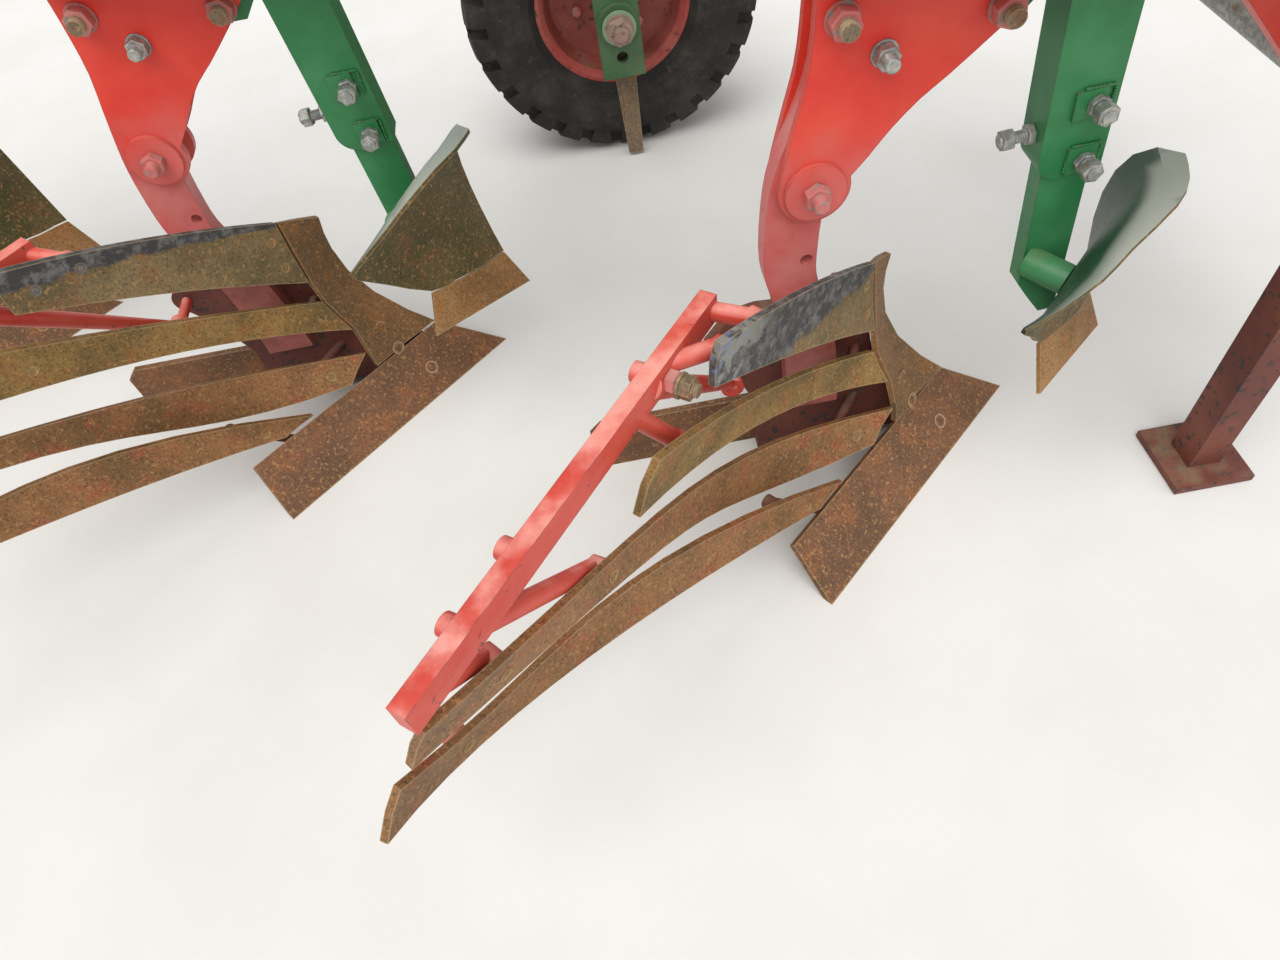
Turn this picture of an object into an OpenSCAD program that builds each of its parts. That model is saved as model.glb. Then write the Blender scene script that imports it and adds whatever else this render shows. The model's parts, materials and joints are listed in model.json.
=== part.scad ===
// Three-furrow mounted moldboard plough with slatted boards, skimmers and a depth wheel.
// Millimetres. +X is the direction of travel, +Y the unploughed land, +Z up.
// The ground is at z = 0 and the origin is under the middle of the whole machine.
// Body 1 is the front, right-hand one; each next body stands body_pitch behind and furrow_w to the land side.

/* [Working width] */
// Distance from one body to the next along the travel
body_pitch = 850; // [800:1:950]
// Furrow width, the sideways step from body to body
furrow_w = 350; // [320:1:380]

/* [Main beam] */
// Outside width and height of the square beam
beam_size = 120; // [100:1:130]
// Wall of the beam and of the cross tube
beam_wall = 8; // [5:1:12]
// Height of the beam's underside above the ground
beam_z = 800; // [790:1:860]

/* [Legs] */
// Thickness of each leg plate
leg_plate_t = 12; // [8:1:16]
// Thickness of the shank between the two plates
shank_t = 30; // [20:1:36]
// Height of the pivot bolt above the ground
pivot_z = 539; // [530:1:548]
// Diameter of the pivot's painted washers
pivot_washer_d = 73; // [50:1:80]
// Diameter of the leg bolts
leg_bolt_d = 20; // [16:1:24]

/* [Share and landside] */
// Width of the share, up its slope
share_w = 110; // [90:1:115]
// Thickness of the share
share_t = 11; // [8:1:14]
// Angle of the cutting edge to the travel
share_angle = 41.5; // [40:0.5:43]
// Slope of the share from the ground
share_slope = 45; // [43:0.5:47]
// Height of the landside
landside_h = 105; // [80:1:120]
// Thickness of the landside
landside_t = 12; // [8:1:16]
// How far the landside's heel lies behind the pivot bolt
landside_back = 330; // [200:1:400]

/* [Moldboard] */
// Thickness of the slats and of the shin plate
slat_t = 9; // [6:1:12]
// Thickness of the flat stay bar behind the slats
stay_bar = 20; // [14:1:26]
// Height of the stay bar
stay_bar_h = 34; // [28:1:40]
// Diameter of the round stays
stay_rod_d = 22; // [16:1:28]

/* [Skimmer] */
// Width of the holder, along the travel
holder_w = 76; // [74:1:90]
// Thickness of the holder, across the travel
holder_t = 50; // [46:1:60]
// Width of the stem
stem_w = 58; // [50:1:62]
// Thickness of the stem
stem_t = 28; // [20:1:30]
// Thickness of the skimmer board and its share
skimmer_t = 6; // [4:1:8]

/* [Headstock] */
// Height of the top link hole above the lower link pins
mast_h = 610; // [560:1:680]
// Distance between the lower link shoulders
link_spread = 825; // [760:1:870]
// Diameter of the lower link pins
link_pin_d = 28.4; // [22:0.1:37]
// Diameter of the top link hole
top_hole_d = 25.7; // [19:0.1:32]
// Height of the lower link pins above the ground
link_z = 500; // [470:1:560]
// Gap between the two mast plates
mast_gap = 52; // [44:1:60]

/* [Depth wheel] */
// Outside diameter of the tyre
tyre_d = 629; // [590:1:660]
// Width of the tyre
tyre_w = 178; // [150:1:190]
// Seat diameter of the rim
rim_d = 305; // [280:1:330]
// Width of the wheel leg
wheel_leg_w = 90; // [70:1:100]
// Thickness of the wheel leg
wheel_leg_t = 25; // [16:1:30]
// How far the wheel can be raised for deeper work
wheel_travel = 250; // [150:1:280]

/* [Parking stand] */
// Outside width of the square stand leg
stand_leg_w = 50; // [40:1:60]
// How far the stand slides up for work
stand_travel = 350; // [250:1:380]

/* [Hidden] */
$fn = 48;

// Seat between two bolted faces, and the play of a bolt in its hole
seat = 0.3;
bolt_play = 0.5;
// How deep one piece of a weldment sits in the next
weld = 1;
leg_eye_r = 43;
pivot_washer_t = 6;

// Places across the travel, from the outer face of the leg's right plate
shank_y = leg_plate_t + seat;
leg_w = 2 * leg_plate_t + shank_t + 2 * seat;
frog_web_t = 20;
frog_y = shank_y + shank_t + seat;
land_y = 95;
landside_y = land_y - landside_t;

// Bolts of a leg as [x, z]: pivot, shear bolt, upper rear and upper front
pivot = [0, pivot_z];
shear = [65, 689];
upper_rear = [18, 732];
upper_front = [185, 714];
leg_bolts = [pivot, shear, upper_rear, upper_front];

// The beam runs over the middle of every leg
beam_leg_x = 118;
beam_angle = atan2(furrow_w, -body_pitch);
leg_head_t = 16;
leg_plate_top = beam_z - leg_head_t;
beam_top = beam_z + beam_size;

// Share corners in its own plane: u along the cutting edge from the point, v up the slope
share_point = [378, land_y, 0];
share_len = 528;
// The cutting edge, the way up the slope and the way into the share, as unit vectors
share_u = [-cos(share_angle), -sin(share_angle), 0];
share_v = [-sin(share_angle) * cos(share_slope), cos(share_angle) * cos(share_slope), sin(share_slope)];
share_n = cross(share_u, share_v);

// Shin plate from the share up, rows of [left x, left z, right x, right y, right z]
shin_rows = [
    [259, 82, 152, -3, 82],
    [219, 120, 151, -2, 110],
    [175, 175, 141, 15, 160],
    [149, 230, 115, 19, 226],
    [140, 280, 108, 21, 271],
    [140, 312, 104, 28, 325],
    [144, 342, 100, 35, 383]
];

// Edges of the four slats from the top one down, as four points from the front to the tail
slat_edges = [
    [[[97, 32, 385], [12, -54, 450], [-72, -143, 508], [-157, -235, 558]],
     [[105, 18, 273], [15, -63, 353], [-75, -146, 426], [-166, -230, 492]]],
    [[[109, 19, 229], [-16, -68, 307], [-132, -183, 401], [-238, -327, 512]],
     [[136, 13, 163], [-6, -65, 247], [-141, -181, 338], [-268, -335, 436]]],
    [[[143, -4, 118], [-108, -116, 215], [-280, -312, 360], [-469, -552, 505]],
     [[106, -38, 81], [-122, -146, 156], [-253, -288, 292], [-503, -552, 435]]],
    [[[40, -96, 81], [-247, -278, 245], [-403, -397, 283], [-525, -555, 400]],
     [[-5, -136, 81], [-256, -294, 174], [-447, -439, 249], [-554, -585, 350]]]
];
slat_steps = 12;
slat_gap = 0.7;
slat_hollow = 3;

// Stay bar behind the slats, middle of its two ends
stay_front = [-152, -132, 519];
stay_rear = [-480, -549, 530];
// Stays between bar and slats: slat, place along it, place across it from low to top, place along the bar,
// length of the lug on the slat
slat_stays = [
    [0, 9 / 12, 0.75, 0.02, 16],
    [0, 11 / 12, 0.5, 0.19, 16],
    [1, 10 / 12, 0.5, 0.33, 20],
    [2, 9 / 12, 0.5, 0.83, 18],
    [2, 11 / 12, 0.5, 0.95, 20],
    [3, 10 / 12, 0.5, 0.955, 40]
];
slat_lug_r = 14;
// Bosses on the bar's rear side, as places along it
bar_bosses = [0.23, 0.68, 0.84];
bar_boss_r = 13;
bar_boss_len = 14;
// The tapered strut from the bar to the frog's rear ear
strut_place = 0.255;
strut_foot = [-112, -22, 266];
strut_r = 15;
strut_foot_r = 9;
strut_eye_r = 16;
strut_eye_w = 24;

// Skimmer: the holder and stem lean by this angle, the top to the rear
skimmer_tilt = 4.5;
holder_foot = [297, 508];
holder_y = -20;
holder_round = 28;
// Pads under the set bolts on the holder's right face, as [x, z]
holder_pads = [[302, 600], [307, 530]];
holder_pad_w = 34;
holder_pad_t = 5;
// Middle of the stem from the holder's middle
stem_off = 3;
stem_round = 26;
holder_top = beam_z - 20;
stem_x = stem_off - stem_w / 2;
stem_y = holder_y + (holder_t - stem_t) / 2;
stem_foot_z = 278;
// Stations of the skimmer board from its front to its tail, as [foot x, y, z, top x, y, z, low bulge, high bulge]
board_stations = [
    [431, 35, 251, 441, -18, 500, 52, 96],
    [413, 18, 254, 421, -64, 502, 50, 90],
    [393, -4, 257, 392, -97, 498, 46, 76],
    [353, -32, 263, 340, -121, 468, 38, 50],
    [312, -58, 269, 304, -139, 445, 30, 30],
    [264, -108, 336, 259, -143, 410, 9, 9],
    [233, -132, 372, 231, -137, 384, 1, 1]
];
board_steps = 8;
board_back = [-0.576, 0.817, 0];
// Corners of the skimmer share
skimmer_point = [461, 30, 182];
skimmer_wing = [305, -105, 216];

// Front frame
cut_centre = land_y + furrow_w / 2 - 5;
cross_x = 500;
cross_right = -210;
cross_left = 640;
cap_t = 8;
gusset_t = 12;
link_x = 690;
link_shaft_d = 60;
link_eye_r = 58;
link_bracket_t = 25;
link_bracket_in = 280;
link_bracket_drop = 90;
link_pin_len = 90;
mast_t = 14;
mast_x = 610;
mast_z = link_z + mast_h;
mast_eye_r = 40;
// The brace from the mast's rear bolt back to the beam
brace_t = 44;
brace_h = 70;
brace_top = [mast_x - 70, mast_z - 45];
brace_foot_x = -420;
brace_pad = [180, 90, 14];
brace_post = [80, 44, 60];

// Depth wheel: its axle, its leg and the sleeve it slides in
wheel_x = -136;
wheel_y = 1105;
wheel_z = tyre_d / 2;
wheel_leg_y = 955;
axle_r = 17.5;
hub_play = 0.2;
rim_half = 58;
rim_flange_r = rim_d / 2 + 12;
hub_half = 60;
hub_r = 40;
axle_boss = [43, 7];
axle_ring = [30, 15];
spacer_d = 52;
sleeve_wall = 10;
sleeve_play = 0.7;
sleeve_z = beam_z - 10;
sleeve_h = 150;
wheel_leg_foot = 203;
wheel_leg_top = 1015;
wheel_leg_hole = [68, 24];
arm_size = 80;
arm_z = sleeve_z + sleeve_h / 2;
arm_flange = [190, 13];
arm_flange_x = -130;
screw_d = 24;
screw_x = wheel_x + wheel_leg_w / 2 + 30;
screw_over = 60;
nut_block_h = 40;
crank_len = 120;
crank_grip_h = 110;
// Shoulder lugs of the tyre: how many on each side, their height and the gap between two
tyre_lugs = 26;
tyre_lug_h = 13;
tyre_lug_gap = 26;
// Smooth middle of the tread, from the tyre's middle to each side, and how far the gaps run down the wall
tyre_rib = 32;
tyre_gap_down = 46;

// Parking stand at the front right of the cross tube
stand_x = cross_x + beam_size / 2 + 12 + stand_leg_w / 2;
stand_y = -120;
stand_wall = 6;
stand_leg_wall = 5;
stand_play = 0.6;
stand_floor_gap = 2;
stand_foot = [120, 12];
stand_sleeve_h = 240;
stand_sleeve_z = beam_top - stand_sleeve_h;
stand_pin_d = 17;
stand_pin_z = stand_sleeve_z + 60;
// Locking holes that share out the travel
stand_holes = 5;

// Every corner of the slats, front and back, for the machine's outermost points
slat_points = [for (k = [0:3]) let (g = slat_grid(k)) for (s = [0:slat_steps]) for (j = [0:2])
    each [g[s][j], g[s][j] + grid_normal(g, s, j) * slat_t]];

// Middle of the whole machine's box, from its outermost points
box_front = link_x + link_eye_r;
box_rear = min([for (p = slat_points) p[0]]) - 2 * body_pitch;
box_right = min([for (p = slat_points) p[1]]);
box_left = wheel_y + tyre_w / 2;
middle = [(box_front + box_rear) / 2, (box_left + box_right) / 2, 0];

// Longer than the machine, for cutters
beyond = 4000;

// Helpers

// Puts a whole-machine piece about the middle of the machine
module in_frame() {
    translate(-middle) children();
}

// Puts a piece of body i, which is drawn at body 1, at its own body
module at_body(i) {
    translate([-body_pitch * (i - 1), furrow_w * (i - 1), 0] - middle) children();
}

// A plate from a polygon in x and z, t thick, from y outwards to the land
module plate_xz(y, t) {
    translate([0, y + t, 0]) rotate([90, 0, 0]) linear_extrude(t) children();
}

// A round bar or cone from a to b
module rod(a, b, r1, r2, fn = 32) {
    d = b - a;
    translate(a) rotate([0, acos(d[2] / norm(d)), atan2(d[1], d[0])]) cylinder(h = norm(d), r1 = r1, r2 = r2, $fn = fn);
}

// A bar w wide and h high from a to b, with level sides
module square_bar(a, b, w, h) {
    d = b - a;
    translate(a) rotate([0, -asin(d[2] / norm(d)), atan2(d[1], d[0])])
        translate([0, -w / 2, -h / 2]) cube([norm(d), w, h]);
}

function mix(a, b, t) = a + (b - a) * t;

// A curve through four points at t = 0, 1/3, 2/3 and 1
function through4(p, t) =
    p[0] * (1 - 3 * t) * (2 - 3 * t) * (1 - t) / 2 + p[1] * 9 * t * (2 - 3 * t) * (1 - t) / 2
    + p[2] * 9 * t * (3 * t - 1) * (1 - t) / 2 + p[3] * t * (3 * t - 1) * (3 * t - 2) / 2;

// An open line of points with a point on its smooth curve put in between each two
function smoothed(l) = concat(
    [for (k = [0:len(l) - 2]) each
        [l[k], (9 * (l[k] + l[k + 1]) - l[max(k - 1, 0)] - l[min(k + 2, len(l) - 1)]) / 16]],
    [l[len(l) - 1]]
);

// A cubic curve with two guide points
function guided(a, g, h, b, t) =
    a * pow(1 - t, 3) + g * 3 * t * pow(1 - t, 2) + h * 3 * t * t * (1 - t) + b * pow(t, 3);

// Unit normal of a grid of points at row k, column j
function grid_normal(g, k, j) =
    let (
        along = g[min(k + 1, len(g) - 1)][j] - g[max(k - 1, 0)][j],
        across = g[k][min(j + 1, len(g[0]) - 1)] - g[k][max(j - 1, 0)],
        n = cross(along, across)
    ) n / norm(n);

// A curved plate: the grid is its soil face, each row from its low edge up, and t its thickness to the back
module curved_plate(g, t) {
    rows = len(g);
    cols = len(g[0]);
    back = rows * cols;
    points = concat(
        [for (k = [0:rows - 1]) for (j = [0:cols - 1]) g[k][j]],
        [for (k = [0:rows - 1]) for (j = [0:cols - 1]) g[k][j] + grid_normal(g, k, j) * t]
    );
    function at(k, j) = k * cols + j;
    faces = concat(
        [for (k = [0:rows - 2]) for (j = [0:cols - 2]) each
            [[at(k, j), at(k + 1, j), at(k + 1, j + 1)], [at(k, j), at(k + 1, j + 1), at(k, j + 1)]]],
        [for (k = [0:rows - 2]) for (j = [0:cols - 2]) each
            [[back + at(k, j), back + at(k + 1, j + 1), back + at(k + 1, j)],
             [back + at(k, j), back + at(k, j + 1), back + at(k + 1, j + 1)]]],
        [for (k = [0:rows - 2]) each
            [[at(k, 0), back + at(k, 0), back + at(k + 1, 0)], [at(k, 0), back + at(k + 1, 0), at(k + 1, 0)],
             [at(k, cols - 1), at(k + 1, cols - 1), back + at(k + 1, cols - 1)],
             [at(k, cols - 1), back + at(k + 1, cols - 1), back + at(k, cols - 1)]]],
        [for (j = [0:cols - 2]) each
            [[at(0, j), at(0, j + 1), back + at(0, j + 1)], [at(0, j), back + at(0, j + 1), back + at(0, j)],
             [at(rows - 1, j), back + at(rows - 1, j), back + at(rows - 1, j + 1)],
             [at(rows - 1, j), back + at(rows - 1, j + 1), at(rows - 1, j + 1)]]]
    );
    polyhedron(points = points, faces = faces);
}

// Legs

// Outline of a leg plate: a wide head under the beam that narrows to the eye round the pivot
leg_rear_edge = [[-8, 750], [-10, 710], [-15, 665], [-27, 617], [-40, 562], [-leg_eye_r, pivot_z]];
leg_front_edge = [[leg_eye_r - 1, pivot_z + 11], [60, 571], [83, 601], [111, 630], [139, 652], [184, 691], [212, 718]];

module leg_outline() {
    polygon(concat(
        [[-8, leg_plate_top]], smoothed(leg_rear_edge), smoothed(leg_front_edge), [[212, leg_plate_top]]
    ));
}

module leg_piece() {
    for (y = [0, leg_w - leg_plate_t]) {
        plate_xz(y, leg_plate_t) leg_outline();
        plate_xz(y, leg_plate_t) translate(pivot) circle(r = leg_eye_r);
    }
    // washers on both outer faces of the pivot
    for (y = [-pivot_washer_t, leg_w - weld])
        plate_xz(y, pivot_washer_t + weld) translate(pivot) circle(d = pivot_washer_d);
    // bolts through both plates
    for (b = leg_bolts) plate_xz(weld, leg_w - 2 * weld) translate(b) circle(d = leg_bolt_d);
}

module leg(i) {
    color("#d63a30") at_body(i) leg_piece();
}

// Clamp that holds a leg to the beam: a head plate under it, a plate over it and four long bolts beside it
clamp_len = 220;
clamp_side = 40;
clamp_bolt_x = 80;
clamp_bolt_end = 16;

module leg_clamp(i) {
    color("#c2352b") at_body(i) translate([beam_leg_x, leg_w / 2, 0]) rotate([0, 0, beam_angle]) {
        for (z = [leg_plate_top + seat, beam_top + seat])
            translate([-clamp_len / 2, -beam_size / 2 - clamp_side, z])
                cube([clamp_len, beam_size + 2 * clamp_side, leg_head_t - 2 * seat]);
        for (sx = [-1, 1]) for (sy = [-1, 1])
            translate([sx * clamp_bolt_x, sy * (beam_size + clamp_side) / 2, leg_plate_top + seat + weld])
                cylinder(h = beam_size + 2 * leg_head_t + clamp_bolt_end, d = leg_bolt_d);
    }
}

// The shank hangs between the plates and bends forward to the frog
shank_foot_z = 145;
shank_top_z = 752;
shank_rear_edge = [
    [-22, shank_foot_z], [-22, 180], [-26, 250], [-34, 310], [-44, 364], [-54, 400], [-58, 440], [-55, 500],
    [-49, 545], [-38, 582], [-22, 620], [-8, 660], [-2, 700], [0, shank_top_z]
];
shank_front_edge = [
    [56, shank_top_z], [96, 706], [88, 672], [48, 610], [26, 560], [15, 500], [11, 436], [12, 405],
    [20, 372], [32, 330], [44, 280], [52, 220], [56, 160], [56, shank_foot_z]
];
shank_hole = [-2, 429];
shank_hole_d = 16;

module shank(i) {
    color("#b85a60") at_body(i) plate_xz(shank_y, shank_t) difference() {
        polygon(concat(smoothed(shank_rear_edge), smoothed(shank_front_edge)));
        for (b = [pivot, shear, upper_rear]) translate(b) circle(d = leg_bolt_d + 2 * bolt_play);
        translate(shank_hole) circle(d = shank_hole_d);
    }
}

// Frog: the web that carries share, shin and landside
frog_front_edge = [
    [172, 78], [161, 120], [133, 170], [110, 230], [103, 280], [97, 318], [88, 354]
];
frog_base_z = 22;
frog_ground_z = 2;
frog_ear = [strut_foot[0], strut_foot[2]];
frog_ear_r = 24;

module frog_piece() {
    plate_xz(frog_y, frog_web_t) polygon(concat(
        [[-60, frog_base_z], [256, frog_base_z]], smoothed(frog_front_edge),
        [[50, 354], [26, 322], [-60, 330], [-100, 322], [-128, 284], [-126, 248], [-96, 214], [-60, 130]]
    ));
    plate_xz(frog_y, frog_web_t) translate(frog_ear) circle(r = frog_ear_r);
    for (s = frog_seats) {
        way = slat_way(s[0], s[1], 0.5);
        foot = slat_back(s[0], s[1], 0.5);
        rod(foot, foot + way * s[3], s[2], s[2]);
        rod(foot + way * (s[3] - 5), s[4], frog_arm_r, frog_arm_r);
    }
    // seat for the landside
    plate_xz(frog_y + frog_web_t, landside_y - seat - frog_y - frog_web_t)
        polygon([[-60, frog_base_z], [236, frog_base_z], [200, 70], [180, 90], [-60, 90]]);
    // pad under the share, parallel to it
    share_plane() translate([share_pad_u, share_pad_v, share_t + seat]) cube(share_pad);
}

// Seats of the slats' front ends on the frog: slat, place along it, radius, height and where the arm meets the frog
frog_arm_r = 8;
frog_seats = [
    [0, 1 / 12, 13, 16, [60, frog_y + 8, 340]],
    [1, 1 / 12, 13, 16, [92, frog_y + 8, 222]],
    [2, 1 / 12, 12, 16, [98, frog_y + 8, 112]],
    [3, 1 / 12, 11, 32, [20, -119, 42]]
];
// Pad under the share, from the frog's web to the lowest slat's arm: its place and size in the share's plane
share_pad_u = 113;
share_pad_v = 22;
share_pad = [312, share_w - 40, 14];

// Lays a piece out in the share's plane
module share_plane() {
    multmatrix([
        [share_u[0], share_v[0], share_n[0], share_point[0]],
        [share_u[1], share_v[1], share_n[1], share_point[1]],
        [share_u[2], share_v[2], share_n[2], share_point[2]],
        [0, 0, 0, 1]
    ]) children();
}

module frog(i) {
    color("#6e3b2e") at_body(i) difference() {
        frog_piece();
        // what lies under the ground line is ground off
        translate([-beyond / 2, -beyond / 2, frog_ground_z - beyond]) cube(beyond);
    }
}

module share_piece() {
    // where the share's top meets the land side
    land_u = share_w * cos(share_angle) * cos(share_slope) / sin(share_angle);
    difference() {
        share_plane() linear_extrude(share_t)
            polygon([[0, 0], [share_len, 0], [share_len - 12, share_w], [land_u, share_w]]);
        translate([-beyond / 2, -beyond / 2, -beyond]) cube(beyond);
        // flush with the landside's face
        translate([-beyond / 2, land_y, -beyond / 2]) cube(beyond);
    }
}

module share(i) {
    color("#9a5a34") at_body(i) share_piece();
}

shin_grid = [for (r = shin_rows) let (a = [r[0], land_y - 3, r[1]], b = [r[2], r[3], r[4]])
    [b, mix(a, b, 0.5) + [-2, 2, 0], a]];

module shin(i) {
    color("#7b5134") at_body(i) curved_plate(shin_grid, slat_t);
}

// Soil face of slat k at t along it, in three points across
function slat_row(k, t) =
    let (
        top = through4(slat_edges[k][0], t),
        low = through4(slat_edges[k][1], t),
        start_t = slat_edges[k][0][1] - slat_edges[k][0][0],
        along = start_t / norm(start_t) * slat_gap,
        n = cross(along, low - top)
    ) [low + along, mix(top, low, 0.5) + along - n / norm(n) * slat_hollow, top + along];

function slat_grid(k) = [for (s = [0:slat_steps]) slat_row(k, s / slat_steps)];

module slats(i) {
    color("#8a5a33") at_body(i) for (k = [0:3]) curved_plate(slat_grid(k), slat_t);
}

module landside(i) {
    color("#7a4a34") at_body(i) plate_xz(landside_y, landside_t)
        polygon([[-landside_back, 0], [300, 0], [225, 62], [225, landside_h - 20], [205, landside_h],
                 [-landside_back + 20, landside_h], [-landside_back, landside_h - 20]]);
}

// Place on the back of slat k, t along it and h across it from low to top, and the way straight out of it
function slat_way(k, t, h) =
    let (
        g = slat_grid(k),
        s = round(t * slat_steps),
        along = g[min(s + 1, slat_steps)][1] - g[max(s - 1, 0)][1],
        across = g[s][h < 0.5 ? 1 : 2] - g[s][h > 0.5 ? 1 : 0],
        n = cross(along, across)
    ) n / norm(n);
function slat_back(k, t, h) =
    let (row = slat_row(k, t), face = h < 0.5 ? mix(row[0], row[1], 2 * h) : mix(row[1], row[2], 2 * h - 1))
    face + slat_way(k, t, h) * (slat_t + seat);

// Lug on the back of a slat, and a round stay from it to a point on the bar
module slat_stay(s, target) {
    way = slat_way(s[0], s[1], s[2]);
    foot = slat_back(s[0], s[1], s[2]);
    rod(foot, foot + way * s[4], slat_lug_r, slat_lug_r - 1);
    rod(foot + way * (s[4] - 5), target, stay_rod_d / 2, stay_rod_d / 2);
}

function on_bar(t) = mix(stay_front, stay_rear, t);
bar_way = (stay_rear - stay_front) / norm(stay_rear - stay_front);
// from the bar towards the slats
bar_side = cross([0, 0, 1], bar_way);

module stay_piece() {
    square_bar(stay_front, stay_rear, stay_bar, stay_bar_h);
    for (s = slat_stays) slat_stay(s, on_bar(s[3]));
    for (t = bar_bosses)
        rod(on_bar(t) - bar_side * (stay_bar / 2 - weld), on_bar(t) - bar_side * (stay_bar / 2 + bar_boss_len),
            bar_boss_r, bar_boss_r - 1);
    // tapered strut to an eye, and the eye's pin up to the frog's ear
    rod(on_bar(strut_place), strut_foot, strut_r, strut_foot_r);
    translate(strut_foot - [0, strut_eye_w / 2, 0]) rotate([-90, 0, 0]) cylinder(h = strut_eye_w, r = strut_eye_r);
    rod(strut_foot - [0, strut_eye_w / 2 + 8, 0], [strut_foot[0], frog_y - seat, strut_foot[2]], 8, 8);
}

module stay(i) {
    color("#e0716b") at_body(i) stay_piece();
}

// Skimmer

// The leaning frame of holder and stem, at the holder's foot
module skimmer_lean() {
    translate([holder_foot[0], 0, holder_foot[1]]) rotate([0, -skimmer_tilt, 0]) children();
}

// A block on the holder's right face under each set bolt
module holder_pad(p) {
    translate([p[0] - holder_pad_w / 2, holder_y - holder_pad_t, p[1] - holder_pad_w / 2])
        cube([holder_pad_w, holder_pad_t + weld, holder_pad_w]);
}

module skimmer_holder(i) {
    socket_h = 230;
    color("#2f7a3e") at_body(i) {
        skimmer_lean() difference() {
            union() {
                translate([-holder_w / 2, holder_y, holder_round])
                    cube([holder_w, holder_t, holder_top - holder_foot[1] - holder_round]);
                translate([-holder_w / 2 + holder_round, holder_y, holder_round])
                    rotate([-90, 0, 0]) cylinder(h = holder_t, r = holder_round);
                translate([-holder_w / 2 + holder_round, holder_y, 0])
                    cube([holder_w - holder_round, holder_t, holder_round + weld]);
                for (p = holder_pads) holder_pad(p - holder_foot);
            }
            translate([stem_x - bolt_play, stem_y - bolt_play, -50])
                cube([stem_w + 2 * bolt_play, stem_t + 2 * bolt_play, socket_h]);
        }
        // arm back between the leg plates, on the upper front bolt
        difference() {
            plate_xz(shank_y, shank_t) polygon([
                [150, 690], [205, 690], [240, 730], [258, 740], [258, holder_top], [150, holder_top]
            ]);
            plate_xz(shank_y - 5, shank_t + 10) translate(upper_front) circle(d = leg_bolt_d + 2 * bolt_play);
        }
    }
}

// Soil face of the skimmer board: stations along it, points up each
board_grid = [for (s = smoothed(board_stations))
    let (
        foot = [s[0], s[1], s[2]],
        top = [s[3], s[4], s[5]],
        low_guide = mix(foot, top, 0.4) + board_back * s[6],
        high_guide = mix(foot, top, 1.05) + board_back * s[7]
    ) [for (j = [0:board_steps]) guided(foot, low_guide, high_guide, top, j / board_steps)]];

module skimmer_stem(i) {
    stem_drop = holder_foot[1] - stem_foot_z;
    color("#2c6f3a") at_body(i) {
        skimmer_lean() translate([0, stem_y, 0]) difference() {
            translate([stem_x, 0, -stem_drop]) cube([stem_w, stem_t, 150 + stem_drop]);
            // rear lower corner cut away
            translate([stem_x, -1, -stem_drop]) rotate([0, 30, 0])
                translate([-2 * stem_round, 0, -stem_round]) cube([2 * stem_round, stem_t + 2, 3 * stem_round]);
        }
        // boss that carries the board
        way = grid_normal(board_grid, 6, 3);
        foot = board_grid[6][3] + way * (skimmer_t + seat);
        rod(foot, foot + way * 58, 20, 20);
    }
}

module skimmer_board(i) {
    color("#245c36") at_body(i) curved_plate(board_grid, skimmer_t);
}

// Its upper edge follows the board's lower one
module skimmer_share(i) {
    drop = [0, 0, -2.6];
    last = 8;
    color("#b0622f") at_body(i) curved_plate(
        [for (k = [0:2:last]) [mix(skimmer_point, skimmer_wing, k / last), board_grid[k][0] + drop]], skimmer_t
    );
}

// Frame

module box_tube(size, wall, len) {
    difference() {
        translate([0, -size / 2, -size / 2]) cube([len, size, size]);
        translate([-1, -size / 2 + wall, -size / 2 + wall]) cube([len + 2, size - 2 * wall, size - 2 * wall]);
    }
}

beam_mid_z = beam_z + beam_size / 2;
// where the beam's middle line meets the back face of the cross tube
beam_front_x = cross_x - beam_size / 2;
beam_slope = furrow_w / body_pitch;
function beam_y(x) = leg_w / 2 - (x - beam_leg_x) * beam_slope;
beam_rear_x = beam_leg_x - 2 * body_pitch - 190;

// A square plate over the end of a tube that runs along x
module end_cap(size) {
    translate([0, -size / 2, -size / 2]) cube([cap_t, size, size]);
}

module main_beam() {
    color("#2f7a3e") in_frame() difference() {
        translate([beam_rear_x, beam_y(beam_rear_x), beam_mid_z]) rotate([0, 0, atan2(-furrow_w, body_pitch)]) {
            box_tube(beam_size, beam_wall, beyond);
            translate([weld - cap_t, 0, 0]) end_cap(beam_size - 4);
        }
        // mitred to the cross tube
        translate([beam_front_x - seat, -beyond / 2, 0]) cube(beyond);
    }
}

// Outline of the plates over and under the joint of beam and cross tube
module gusset_outline() {
    y = beam_y(beam_front_x);
    polygon([
        [cross_x + 50, y - 85], [cross_x + 50, y + 24], [beam_front_x - 45, y + 24],
        [beam_front_x - 110, y + 98], [beam_front_x - 110, y - 30], [beam_front_x, y - 85]
    ]);
}

module cross_tube() {
    color("#2f7a3e") in_frame() {
        translate([cross_x, cross_right, beam_mid_z]) rotate([0, 0, 90]) {
            box_tube(beam_size, beam_wall, cross_left - cross_right);
            translate([weld - cap_t, 0, 0]) end_cap(beam_size - 4);
            translate([cross_left - cross_right - weld, 0, 0]) end_cap(beam_size - 4);
        }
        for (z = [beam_z - weld, beam_top - weld])
            translate([beam_front_x + 20, beam_y(beam_front_x) - 75, z]) cube([80, 90, 2 * weld]);
        for (z = [beam_z - gusset_t - seat, beam_top + seat])
            translate([0, 0, z]) linear_extrude(gusset_t) gusset_outline();
    }
}

// Outline of a mast plate, from the cross tube up to the top link's hole
module mast_outline() {
    back = cross_x - beam_size / 2;
    front = cross_x + beam_size / 2;
    polygon([
        [back, beam_top + seat], [front, beam_top + seat], [front + 30, beam_top + 40],
        [mast_x + mast_eye_r, mast_z], [mast_x - mast_eye_r, mast_z], [back, beam_top + 60]
    ]);
}

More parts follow.
